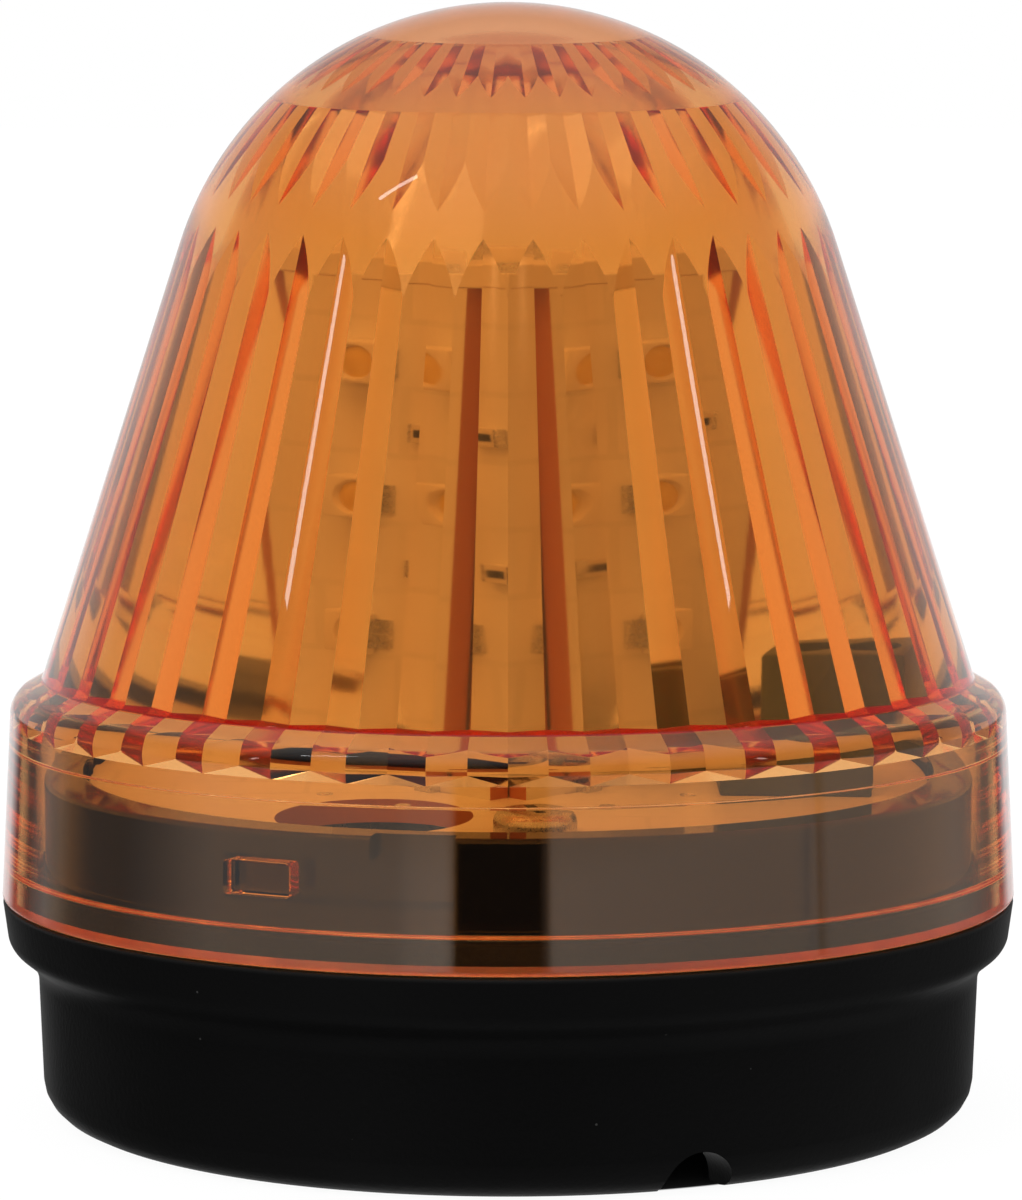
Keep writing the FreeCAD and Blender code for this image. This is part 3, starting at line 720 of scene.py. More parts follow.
def buildMainBoard(material, tin):
    low, high = boardBottom - board["spare"], boardTop + board["spare"]
    corners = [(0, boardBottom, 0), (board["radius"], boardBottom, board["edge"]),
               (board["radius"], boardTop, board["edge"]), (0, boardTop, 0)]
    piece = makePiece("mainBoard", turnedShell(corners, board["steps"], 2), material)
    cuts = bmesh.new()
    for place in fixingPlaces():
        addRod(cuts, board["access"], low, high, place, 64)
    for place in postPlaces():
        addRod(cuts, board["screwHole"], low, high, place, 32)
    centre = tower["side"] / 2 - board["thick"] / 2
    for turn in tower["turns"]:
        addBox(cuts, (board["slotThick"], board["tabWidth"], board["slotDepth"]), (centre, 0, boardTop), turn)
    combine(piece, makePiece("boardCuts", cuts), "DIFFERENCE")
    shadePiece(piece)
    markEdges(piece.data, Vector((0, 0, 1)))
    fitPiece(piece, "base", "board_white", "main_board")
    pads = bmesh.new()
    for index in range(board["viaCount"]):
        place = polar(board["viaCircle"], board["viaStart"] + index * 360.0 / board["viaCount"])
        addRod(pads, board["via"], boardTop, boardTop + board["padLift"], place, 16)
    for turn in tower["turns"]:
        for side in (-1, 1):
            addBox(pads, board["joint"], (tower["side"] / 2 + board["jointOut"], side * board["jointSide"],
                                          boardTop + board["jointLift"]), turn)
    fitPiece(makePiece("boardPads", pads, tin, edge=board["padEdge"]), "base", "screw_steel")


def markEdges(mesh, axis):
    # the cut edges of a board show its bare core
    bare = mesh.attributes.new("bareEdge", "FLOAT", "FACE")
    for face in mesh.polygons:
        bare.data[face.index].value = float(abs(face.normal.dot(axis)) < board["edgeOn"])


def buildTower(material, topMaterial):
    high = levelsOf("led_board_1")[1]
    centre = tower["side"] / 2 - board["thick"] / 2
    for index, turn in enumerate(tower["turns"], 1):
        bm = oneBox((board["thick"], tower["width"], high - boardTop), (centre, 0, (high + boardTop) / 2), turn)
        plate = makePiece("towerBoard%d" % index, bm, material)
        tab = oneBox((board["thick"] - tower["tabGap"], tower["tab"], tower["tabLength"] + tower["tabBite"]),
                     (centre, 0, boardTop - tower["tabLength"] / 2 + tower["tabBite"] / 2), turn)
        combine(plate, makePiece("towerTab", tab), "UNION")
        markEdges(plate.data, Vector((*polar(1.0, turn), 0)))
        bevelPiece(plate, tower["edge"])
        fitPiece(plate, "base", "board_white", "led_board_%d" % index)
    low, top = levelsOf("tower_top_board")
    bm = oneBox((tower["side"], tower["side"], top - low), (0, 0, (low + top) / 2), tower["turns"][0])
    plate = makePiece("towerTop", bm, topMaterial, edge=tower["edge"])
    fitPiece(plate, "base", "board_white", "tower_top_board")
    print("boards done")


# LEDs and their resistors

led = {"depth": 1.9, "width": 3.5, "tall": 2.8, "edge": 0.14, "cup": 1.2, "cupFloor": 0.85, "cupDepth": 0.8,
       "cupOut": 0.01, "fill": 0.28, "fillGap": 0.06, "fillDrop": 0.42, "lead": 0.18, "leadTall": 1.9, "foot": 0.9,
       "levels": (33.4, 42.54, 51.68), "topCircle": 5.0, "topTurns": (0, 120, 240)}
resistor = {"width": 2.0, "tall": 1.25, "depth": 0.55, "offset": 4.6, "edge": 0.06, "cap": 0.42, "capEdge": 0.08,
            "capDepth": 0.96, "capTall": 0.98, "glaze": 0.5, "glazeLift": 0.03}


def ledTemplates():
    # package, silicone fill and leads of one LED that looks along +X from the origin
    bm = oneBox((led["depth"], led["width"], led["tall"]), (led["depth"] / 2, 0, 0))
    bevelEdges(bm, bm.edges[:], led["edge"])
    package = makePiece("ledPackage", bm)
    cup = bmesh.new()
    made = addRod(cup, led["cupFloor"], led["depth"] - led["cupDepth"], led["depth"], (0, 0), 32, led["cup"])
    bmesh.ops.rotate(cup, cent=(0, 0, 0), matrix=Matrix.Rotation(math.pi / 2, 3, "Y"), verts=made)
    bmesh.ops.translate(cup, vec=(led["cupOut"] * mm, 0, 0), verts=made)
    combine(package, makePiece("ledCup", cup), "DIFFERENCE")
    fill = bmesh.new()
    made = bmesh.ops.create_uvsphere(fill, u_segments=24, v_segments=12, radius=mm)["verts"]
    across = led["cup"] - led["fillGap"]
    bmesh.ops.scale(fill, vec=(led["fill"], across, across), verts=made)
    bmesh.ops.translate(fill, vec=((led["depth"] - led["fillDrop"]) * mm, 0, 0), verts=made)
    leads = bmesh.new()
    lead, foot = led["lead"], led["foot"]
    for side in (-1, 1):
        addBox(leads, (foot, lead, led["leadTall"]), (foot / 2, side * (led["width"] + lead) / 2, 0))
        addBox(leads, (lead, foot, led["leadTall"]), (lead / 2, side * (led["width"] / 2 + foot / 2), 0))
    return [takeMesh(package), takeMesh(makePiece("ledFill", fill)), takeMesh(makePiece("ledLeads", leads))]


def buildLeds(package, silicone, tin):
    templates = ledTemplates()
    face = tower["side"] / 2
    groups = [[turnZ(turn, 4) @ Matrix.Translation(Vector((face, 0, level)) * mm) for level in led["levels"]]
              for turn in tower["turns"]]
    upright = Matrix.Rotation(-math.pi / 2, 4, "Y")
    top = levelsOf("tower_top_board")[1]
    groups.append([Matrix.Translation(Vector((*polar(led["topCircle"], frontAngle + turn), top)) * mm) @ upright
                   for turn in led["topTurns"]])
    names = ["leds_1", "leds_2", "leds_3", "leds_4", "top_leds"]
    for name, places in zip(names, groups):
        label = name.replace("_", "")
        for mesh, part, material, slot in zip(templates, ("Packages", "Fills", "Leads"), (package, silicone, tin),
                                              ("led_package", "led_package", "screw_steel")):
            bm = bmesh.new()
            for place in places:
                stamp(bm, mesh, place)
            piece = makePiece(label + part, bm, material)
            fitPiece(piece, "base", slot, *([name] if part == "Packages" else []))
    print("leds done")


def buildResistors(ceramic, black, tin):
    levels = led["levels"]
    face, depth, width, cap = tower["side"] / 2, resistor["depth"], resistor["width"], resistor["cap"]
    bodies, caps, glazes = bmesh.new(), bmesh.new(), bmesh.new()
    for turn in tower["turns"]:
        for low, high in zip(levels, levels[1:]):
            middle = (low + high) / 2
            addBox(bodies, (depth, width - cap, resistor["tall"]), (face + depth / 2, resistor["offset"], middle), turn)
            addBox(glazes, (resistor["glazeLift"] * 2, width - 2 * cap, resistor["glaze"]),
                   (face + depth, resistor["offset"], middle), turn)
            for side in (-1, 1):
                addBox(caps, (depth * resistor["capDepth"], cap, resistor["tall"] * resistor["capTall"]),
                       (face + depth / 2, resistor["offset"] + side * (width - cap) / 2, middle), turn)
    fitPiece(makePiece("resistorGlaze", glazes, black), "base", "chip_black")
    piece = makePiece("resistorBodies", bodies, ceramic, edge=resistor["edge"])
    fitPiece(piece, "base", "chip_black", "led_resistors")
    fitPiece(makePiece("resistorCaps", caps, tin, edge=resistor["capEdge"]), "base", "screw_steel")


# screws

screw = {"shank": 1.4, "length": 8.0, "head": 2.7, "headHeight": 1.7, "recess": 0.7, "recessDepth": 0.9, "span": 1.15,
         "thread": 0.18, "pitch": 0.9, "plain": 1.5, "tip": 0.8, "neck": 0.4, "seatRound": 0.15, "headRound": 0.8,
         "sharp": 28.0, "turn": 25, "turnStep": 40}


def buildBoardScrews(material):
    # pan heads with a cross recess and a threaded shank
    top = boardTop + screw["headHeight"]
    tip = boardTop - screw["length"]
    core = screw["shank"] - screw["thread"]
    corners = [(0, tip, 0), (screw["shank"] * 0.5, tip, 0.1)]
    for index in range(int((screw["length"] - screw["plain"]) / screw["pitch"])):
        level = tip + screw["tip"] + index * screw["pitch"]
        corners += [(core, level, 0), (screw["shank"], level + screw["pitch"] / 2, 0)]
    corners += [(core, boardTop - screw["neck"], 0), (core, boardTop, 0), (screw["head"], boardTop, screw["seatRound"]),
                (screw["head"], top, screw["headRound"]), (0, top, 0)]
    one = makePiece("screwOne", turnedShell(corners, 40, 4))
    span = screw["head"] * screw["span"]
    for size in ((span, screw["recess"]), (screw["recess"], span)):
        blade = oneBox((*size, 2 * screw["recessDepth"]), (0, 0, top + 0.01))
        combine(one, makePiece("screwBlade", blade), "DIFFERENCE")
    mesh = takeMesh(one)
    bm = bmesh.new()
    for index, (x, y) in enumerate(postPlaces()):
        turn = turnZ(screw["turn"] + screw["turnStep"] * index, 4)
        stamp(bm, mesh, Matrix.Translation(Vector((x, y, 0)) * mm) @ turn)
    fitPiece(makePiece("boardScrews", bm, material, screw["sharp"]), "base", "screw_steel", "board_screws")


# terminal block

terminal = {"poles": 2, "pitch": 5.0, "chamfer": 2.0, "wall": 0.7, "backWall": 1.5, "floor": 1.2, "roof": 6.1,
            "opening": 12.0, "seat": 6.9, "well": 1.9, "bore": 1.2, "boreSpare": 0.5, "seam": (0.35, 20.0, 0.5),
            "screw": 1.8, "head": 2.0, "shank": 1.1, "tip": 2.8, "slot": 0.7, "slotDepth": 0.8, "slotLength": 5.0,
            "turn": 20, "turnStep": 55, "clamp": (3.3, 5.5, 0.8), "clampEdge": 0.15, "edge": 0.18}


def terminalFrame():
    low, high = boxOf("terminal_block")
    middle = (low + high) / 2
    poles = [middle.x + (index - (terminal["poles"] - 1) / 2) * terminal["pitch"] for index in range(terminal["poles"])]
    return low, high, poles, middle.y - terminal["chamfer"] / 2


def buildTerminal(green, steel, brass):
    low, high, poles, screwLine = terminalFrame()
    bottom, top, roof = terminal["floor"], high.z, terminal["roof"]
    seat = low.z + terminal["seat"]
    outline = [(low.y, low.z), (high.y, low.z), (high.y, top - terminal["chamfer"]),
               (high.y - terminal["chamfer"], top), (low.y, top)]
    bm = pushOutline([Vector((low.x, y, z)) * mm for y, z in outline], high.x - low.x)
    bevelEdges(bm, bm.edges[:], terminal["edge"])
    piece = makePiece("terminalBlock", bm, green)
    cuts = bmesh.new()
    for x in poles:
        addBox(cuts, (terminal["pitch"] - 2 * terminal["wall"], terminal["opening"], roof - bottom),
               (x, low.y + terminal["backWall"] + terminal["opening"] / 2, low.z + (roof + bottom) / 2))
        addRod(cuts, terminal["well"], seat, top + 1, (x, screwLine), 32)
        addRod(cuts, terminal["bore"], low.z + roof - terminal["boreSpare"], seat + terminal["boreSpare"],
               (x, screwLine), 24)
    addBox(cuts, terminal["seam"], (poles[0] + terminal["pitch"] / 2, low.y, top))
    combine(piece, makePiece("terminalCuts", cuts), "DIFFERENCE")
    shadePiece(piece)
    fitPiece(piece, "base", "terminal_green", "terminal_block")
    tip, crown = low.z + terminal["tip"], seat + terminal["head"]
    one = makePiece("terminalScrew", turnedShell(
        [(0, tip, 0), (terminal["shank"], tip, 0.15), (terminal["shank"], seat, 0), (terminal["screw"], seat, 0.1),
         (terminal["screw"], crown, 0.3), (0, crown, 0)], 32, 3))
    slot = oneBox((terminal["slotLength"], terminal["slot"], 2 * terminal["slotDepth"]), (0, 0, crown))
    combine(one, makePiece("terminalSlot", slot), "DIFFERENCE")
    mesh = takeMesh(one)
    screws, plates = bmesh.new(), bmesh.new()
    for index, x in enumerate(poles):
        turn = turnZ(terminal["turn"] + terminal["turnStep"] * index, 4)
        stamp(screws, mesh, Matrix.Translation(Vector((x, screwLine, 0)) * mm) @ turn)
        addBox(plates, terminal["clamp"], (x, (low.y + high.y) / 2, low.z + bottom + terminal["clamp"][2] / 2))
    fitPiece(makePiece("terminalScrews", screws, steel), "base", "screw_steel", "terminal_screws")
    piece = makePiece("terminalClamps", plates, brass, edge=terminal["clampEdge"])
    fitPiece(piece, "base", "clamp_brass", "terminal_clamps")
    print("terminal block done")


# mode switch

switch = {"ways": 4, "pitch": 2.54, "slot": (3.1, 1.5, 4.0), "slotFloor": 2.45, "edge": 0.15, "sliderEdge": 0.12}


def buildSwitch(black, white):
    low, high = boxOf("dip_switch_body")
    centre = (low + high) / 2
    bm = oneBox(high - low, centre)
    bevelEdges(bm, bm.edges[:], switch["edge"])
    piece = makePiece("switchBody", bm, black)
    cuts = bmesh.new()
    for index in range(switch["ways"]):
        y = centre.y + (index - (switch["ways"] - 1) / 2) * switch["pitch"]
        addBox(cuts, switch["slot"], (centre.x, y, low.z + switch["slotFloor"] + switch["slot"][2] / 2))
    combine(piece, makePiece("switchCuts", cuts), "DIFFERENCE")
    shadePiece(piece)
    fitPiece(piece, "base", "switch_black", "dip_switch_body")
    for index in range(1, switch["ways"] + 1):
        name = "dip_slider_%d" % index
        low, high = boxOf(name)
        bm = oneBox(high - low, (low + high) / 2)
        bevelEdges(bm, bm.edges[:], switch["sliderEdge"])
        fitPiece(makePiece("slider%d" % index, bm, white), name, "slider_white", name)
    print("mode switch done")


# parts under the main board

driver = {"canDip": 0.35, "canFoot": 0.25, "canRound": 0.3, "lead": 0.35, "leadSpread": 2.5, "disc": 4.2,
          "discRim": 0.5, "discRound": 0.9, "rimRound": 0.8, "corner": 1.6, "coreEdge": 0.2, "rectifierEdge": 0.3,
          "chipEdge": 0.2, "chipLift": 0.15, "legRoom": 2.0, "legCount": 4, "legPitch": 1.27, "leg": 0.42,
          "legThick": 0.18}


def buildDriver(canBlack, blue, ferriteGrey, black, tin):
    low, high = boxOf("smoothing_capacitor")
    middle, radius = (low + high) / 2, (high.x - low.x) / 2
    groove = high.z - (high.z - low.z) / 5
    dip, foot, soft = driver["canDip"], low.z + driver["canFoot"], driver["canRound"]
    bm = turnedShell([(0, foot, 0), (radius - 1.0, foot, 0.1), (radius - 0.8, low.z, 0.1), (radius, low.z, 0.5),
                      (radius, groove - 2 * dip, soft), (radius - dip, groove, soft), (radius, groove + 2 * dip, soft),
                      (radius, high.z, 0.1), (0, high.z, 0)], 64, 3)
    bmesh.ops.translate(bm, vec=Vector((middle.x, middle.y, 0)) * mm, verts=bm.verts[:])
    fitPiece(makePiece("capacitorCan", bm, canBlack, 40.0), "base", "capacitor_can", "smoothing_capacitor")

    low, high = boxOf("varistor")
    middle, half = (low + high) / 2, (high.y - low.y) / 2
    radius, soft = driver["disc"], driver["discRound"]
    flat = radius - driver["discRim"]
    disc = turnedShell([(0, -half, 0), (flat, -half, soft), (radius, 0, driver["rimRound"]), (flat, half, soft),
                        (0, half, 0)], 48, 4)
    bmesh.ops.rotate(disc, cent=(0, 0, 0), matrix=Matrix.Rotation(math.pi / 2, 3, "X"), verts=disc.verts[:])
    bmesh.ops.translate(disc, vec=Vector((middle.x, middle.y, low.z + radius)) * mm, verts=disc.verts[:])
    fitPiece(makePiece("varistorDisc", disc, blue, 50.0), "base", "varistor_blue", "varistor")
    leads = bmesh.new()
    for side in (-1, 1):
        x = middle.x + side * driver["leadSpread"]
        addRod(leads, driver["lead"], low.z + radius + 1, high.z, (x, middle.y), 16)
    fitPiece(makePiece("varistorLeads", leads, tin), "base", "screw_steel")

    low, high = boxOf("inductor")
    bm = oneBox(high - low, (low + high) / 2)
    posts = [edge for edge in bm.edges if abs((edge.verts[0].co - edge.verts[1].co).normalized().z) > 0.9]
    bevelEdges(bm, posts, driver["corner"], 4)
    piece = makePiece("inductorCore", bm, ferriteGrey, edge=driver["coreEdge"])
    fitPiece(piece, "base", "ferrite", "inductor")

    low, high = boxOf("bridge_rectifier")
    bm = oneBox(high - low, (low + high) / 2)
    piece = makePiece("rectifierBody", bm, black, edge=driver["rectifierEdge"], segments=3)
    fitPiece(piece, "base", "chip_black", "bridge_rectifier")

    low, high = boxOf("driver_chip")
    middle, lift = (low + high) / 2, driver["chipLift"]
    width, depth = high.x - low.x, high.y - low.y - driver["legRoom"]
    bm = oneBox((width, depth, high.z - low.z - lift), (middle.x, middle.y, middle.z - lift / 2))
    fitPiece(makePiece("chipBody", bm, black, edge=driver["chipEdge"]), "base", "chip_black", "driver_chip")
    legs = bmesh.new()
    leg, thick = driver["leg"], driver["legThick"]
    for index in range(driver["legCount"]):
        x = middle.x + (index - (driver["legCount"] - 1) / 2) * driver["legPitch"]
        for side in (-1, 1):
            y = middle.y + side * depth / 2
            for size, out, drop in ((0.5, thick), 0.2, 0.65), ((thick, 0.65), 0.45, 0.4), ((0.6, thick), 0.7, 0.09):
                addBox(legs, (leg, *size), (x, y + side * out, high.z - drop))
    fitPiece(makePiece("chipLegs", legs, tin), "base", "screw_steel")
    print("driver parts done")


# finishes: two colours in patches, a range of roughness, sizes per metre of patches and grain, depth of relief

looks = {
    "sealRubber": {"colors": ((0.009, 0.009, 0.009), (0.02, 0.02, 0.021)), "rough": (0.6, 0.88), "patch": 70.0,
                   "grain": 5200.0, "relief": 0.3, "specular": 0.3},
    "zincSteel": {"colors": ((0.56, 0.57, 0.58), (0.68, 0.67, 0.64)), "rough": (0.2, 0.38), "patch": 420.0,
                  "grain": 6000.0, "relief": 0.08, "metallic": 1.0},
    "solderTin": {"colors": ((0.66, 0.66, 0.67), (0.78, 0.78, 0.77)), "rough": (0.16, 0.34), "patch": 700.0,
                  "grain": 3500.0, "relief": 0.12, "metallic": 1.0},
    "ledWhite": {"colors": ((0.88, 0.86, 0.8), (0.92, 0.91, 0.87)), "rough": (0.32, 0.5), "patch": 500.0,
                 "grain": 7000.0, "relief": 0.06},
    "ledSilicone": {"colors": ((0.82, 0.6, 0.14), (0.88, 0.7, 0.24)), "rough": (0.12, 0.24), "patch": 900.0,
                    "grain": 9000.0, "relief": 0.05},
    "ceramic": {"colors": ((0.74, 0.72, 0.68), (0.82, 0.81, 0.78)), "rough": (0.4, 0.6), "patch": 800.0,
                "grain": 9000.0, "relief": 0.1},
    "chipBlack": {"colors": ((0.009, 0.009, 0.009), (0.018, 0.018, 0.017)), "rough": (0.38, 0.6), "patch": 300.0,
                  "grain": 8000.0, "relief": 0.15},
    "terminalGreen": {"colors": ((0.055, 0.085, 0.045), (0.07, 0.105, 0.055)), "rough": (0.3, 0.48), "patch": 160.0,
                      "grain": 6000.0, "relief": 0.1},
    "clampBrass": {"colors": ((0.66, 0.46, 0.18), (0.74, 0.55, 0.25)), "rough": (0.22, 0.4), "patch": 400.0,
                   "grain": 5000.0, "relief": 0.08, "metallic": 1.0},
    "switchBlack": {"colors": ((0.01, 0.01, 0.012), (0.016, 0.016, 0.018)), "rough": (0.3, 0.48), "patch": 260.0,
                    "grain": 7000.0, "relief": 0.1},
    "sliderWhite": {"colors": ((0.76, 0.76, 0.74), (0.83, 0.83, 0.82)), "rough": (0.3, 0.46), "patch": 500.0,
                    "grain": 8000.0, "relief": 0.06},
    "capacitorSleeve": {"colors": ((0.014, 0.014, 0.02), (0.025, 0.025, 0.034)), "rough": (0.2, 0.36), "patch": 180.0,
                        "grain": 3000.0, "relief": 0.05},
    "varistorBlue": {"colors": ((0.02, 0.085, 0.36), (0.035, 0.12, 0.44)), "rough": (0.22, 0.42), "patch": 240.0,
                     "grain": 2500.0, "relief": 0.25},
    "ferriteGrey": {"colors": ((0.022, 0.022, 0.022), (0.04, 0.039, 0.038)), "rough": (0.5, 0.72), "patch": 300.0,
                    "grain": 4500.0, "relief": 0.3},
}
# the lighter edge colour and its band give a painted highlight along the flange's top edge
housing = {"color": (0.0016, 0.0016, 0.0017), "dust": (0.05, 0.05, 0.048), "paintedHighlight": (0.012, 0.012, 0.012),
           "matte": (0.5, 0.62), "polished": (0.04, 0.08), "specular": (0.1, 0.6), "patch": 45.0, "grain": 2600.0,
           "relief": 0.3, "step": 0.1, "paintedHighlightBand": 0.3, "specks": 900.0, "share": 0.1, "speckSize": 0.075}
boardLook = {"mask": ((0.86, 0.86, 0.83), (0.93, 0.93, 0.91)), "gap": (0.85, 0.85, 0.82), "core": (0.55, 0.22, 0.1),
             "rough": (0.3, 0.48), "patch": 120.0, "grain": 6500.0, "relief": 0.08, "tile": 55.0, "line": 0.012}


def grainGroup():
    # patches, fine grain and the relief of a moulded, cast or rolled surface
    group, source, sink = makeGroup(
        "surfaceGrain", {"Patch Scale": 100.0, "Grain Scale": 5000.0, "Relief": 0.1},
        {"Patch": "NodeSocketFloat", "Grain": "NodeSocketFloat", "Normal": "NodeSocketVector"})
    place = addNode(group, "ShaderNodeTexCoord").outputs["Object"]
    for label, detail in (("Patch", 3.0), ("Grain", 4.0)):
        noise = addNode(group, "ShaderNodeTexNoise", {"Vector": place, "Scale": source[label + " Scale"],
                                                      "Detail": detail})
        spread = addRange(group, noise.outputs[0], 0.0, 1.0, 0.3, 0.7)
        feed(group, sink, {label: spread})
    relief = addNode(group, "ShaderNodeBump", {"Height": spread, "Strength": source["Relief"], "Distance": 0.04 * mm})
    feed(group, sink, {"Normal": relief.outputs[0]})
    return group


def specksGroup():
    # dust: a small spot in a few of many cells
    group, source, sink = makeGroup("dustSpecks", {"Scale": 600.0, "Share": 0.1, "Size": 0.15},
                                    {"Mask": "NodeSocketFloat"})
    place = addNode(group, "ShaderNodeTexCoord").outputs["Object"]
    cells = addNode(group, "ShaderNodeTexVoronoi", {"Vector": place, "Scale": source["Scale"]}).outputs
    dice = addNode(group, "ShaderNodeSeparateColor", {0: cells["Color"]}).outputs
    chosen = addMath(group, "LESS_THAN", dice[0], source["Share"])
    close = addMath(group, "LESS_THAN", cells["Distance"], source["Size"])
    feed(group, sink, {"Mask": addMath(group, "MULTIPLY", chosen, close)})
    return group


def addGrain(tree, look):
    return addNode(tree, "ShaderNodeGroup", {"Patch Scale": look["patch"], "Grain Scale": look["grain"],
                                             "Relief": look["relief"]}, node_tree=surfaceGrain).outputs


def makeFinish(name):
    look = looks[name]
    material, tree, shader = newMaterial(name)
    grain = addGrain(tree, look)
    feed(tree, shader, {
        "Base Color": mixColors(tree, grain["Patch"], *look["colors"]),
        "Roughness": addRange(tree, grain["Grain"], *look["rough"]), "Normal": grain["Normal"],
        "Metallic": look.get("metallic", 0.0), "Specular IOR Level": look.get("specular", 0.5)})
    return material


def housingPlastic():
    # matte outside with a little dust, polished from the parting level up, and a painted highlight along the flange's
    # top edge
    material, tree, shader = newMaterial("blackPlastic")
    height = axesOf(tree)["Z"]
    edge = partingLevel * mm
    upper = addRange(tree, height, 0.0, 1.0, edge, edge + housing["step"] * mm)
    grain = addGrain(tree, {**housing, "relief": addRange(tree, upper, housing["relief"], 0.0)})
    specks = addNode(tree, "ShaderNodeGroup", {"Scale": housing["specks"], "Share": housing["share"],
                                               "Size": housing["speckSize"]}, node_tree=dustSpecks)
    dusty = addRange(tree, upper, specks.outputs["Mask"], 0.0)
    color = mixColors(tree, dusty, housing["color"], housing["dust"])
    # painted highlight: a lighter band just under the parting level, on the flange's rounded top edge
    paintedHighlight = addRange(tree, height, 0.0, 1.0, edge - housing["paintedHighlightBand"] * mm, edge)
    paintedHighlight = addRange(tree, upper, paintedHighlight, 0.0)
    matte, polished = (addRange(tree, grain["Patch"], *housing[label]) for label in ("matte", "polished"))
    feed(tree, shader, {
        "Base Color": mixColors(tree, paintedHighlight, color, housing["paintedHighlight"]),
        "Roughness": addRange(tree, upper, matte, polished),
        "Specular IOR Level": addRange(tree, upper, *housing["specular"]), "Normal": grain["Normal"]})
    return material


def boardFinish(name, upright):
    # white lacquer over copper fields, with the bare core at the cut edges
    material, tree, shader = newMaterial(name)
    grain = addGrain(tree, boardLook)
    axes = axesOf(tree)
    flat = addNode(tree, "ShaderNodeCombineXYZ", {0: axes["X"], 1: axes["Z" if upright else "Y"]})
    fields = addNode(tree, "ShaderNodeTexBrick", {"Vector": flat.outputs[0], "Scale": boardLook["tile"],
                                                  "Mortar Size": boardLook["line"]})
    lacquer = mixColors(tree, grain["Patch"], *boardLook["mask"])
    lacquer = mixColors(tree, fields.outputs["Fac"], lacquer, boardLook["gap"])
    bare = addNode(tree, "ShaderNodeAttribute", attribute_name="bareEdge").outputs["Fac"]
    feed(tree, shader, {
        "Base Color": mixColors(tree, bare, lacquer, boardLook["core"]),
        "Roughness": addRange(tree, grain["Grain"], *boardLook["rough"]), "Normal": grain["Normal"]})
    return material


surfaceGrain = grainGroup()
dustSpecks = specksGroup()
rubber, steel, tin, black = (makeFinish(name) for name in ("sealRubber", "zincSteel", "solderTin", "chipBlack"))
boardFlat = boardFinish("boardFlat", False)

buildLens(amberPlastic())
buildBase(housingPlastic())
buildSeal(rubber)
buildGrommet(rubber)
buildMainBoard(boardFlat, tin)
buildTower(boardFinish("boardUpright", True), boardFlat)
buildLeds(makeFinish("ledWhite"), makeFinish("ledSilicone"), tin)
buildResistors(makeFinish("ceramic"), black, tin)
buildBoardScrews(steel)
buildTerminal(makeFinish("terminalGreen"), steel, makeFinish("clampBrass"))
buildSwitch(makeFinish("switchBlack"), makeFinish("sliderWhite"))
buildDriver(makeFinish("capacitorSleeve"), makeFinish("varistorBlue"), makeFinish("ferriteGrey"), black, tin)


# camera

camera = {"place": (0.19, -370.0, 76.05), "pitch": 6.292, "focal": 161.76, "sensor": 36.0}


def placeCamera():
    data = bpy.data.cameras.new("camera")
    data.sensor_fit = "VERTICAL"
    data.sensor_height = camera["sensor"]
    data.lens = camera["focal"]
    eye = bpy.data.objects.new("camera", data)
    eye.location = Vector(camera["place"]) * mm
    eye.rotation_euler = (math.radians(90 - camera["pitch"]), 0, 0)
    bpy.context.scene.collection.objects.link(eye)
    bpy.context.scene.camera = eye


# backdrop and floor

backdrop = {
    "fill": 1.25, "horizon": (-0.02, -0.06), "fade": (0.2, 0.6, 0.3), "overhead": (0.55, 0.9, 0.55),
    "high": ((-1.0, 0.02), (-0.25, 0.03), (0.0, 0.14), (0.5, 0.2), (0.65, 0.45), (0.82, 0.72), (1.0, 0.72)),
    "low": ((-180, 1.0), (-158, 1.0), (-150, 0.05), (-138, 0.05), (-128, 0.4), (-116, 0.08), (-96, 0.12),
            (-84, 0.3), (-70, 0.6), (-25, 0.68), (-22, 0.85), (-12.9, 0.95), (-12.1, 0.01), (8.1, 0.01),
            (10.0, 0.75), (72.8, 0.62), (73.3, 0.12), (74.2, 0.12), (74.7, 0.62), (120, 0.45), (138, 0.15),
            (150, 0.12), (158, 1.0), (180, 1.0)),
}
# the two radii bound a dark disc under the beacon where the floor doesn't glow, which is painted shade
floor = {"size": 6000.0, "color": 0.06, "rough": 0.9, "glow": 0.95, "paintedShadeDisc": (29.5, 29.85)}


def addRamp(tree, source, stops, low, high):
    # brightness by stops, where the source runs from low to high
    ramp = addNode(tree, "ShaderNodeValToRGB", {0: addRange(tree, source, 0.0, 1.0, low, high)})
    spots = ramp.color_ramp.elements
    while len(spots) < len(stops):
        spots.new(0.5)
    for spot, (place, level) in zip(spots, stops):
        spot.position = (place - stops[0][0]) / (stops[-1][0] - stops[0][0])
        spot.color = (level, level, level, 1)
    return ramp.outputs[0]


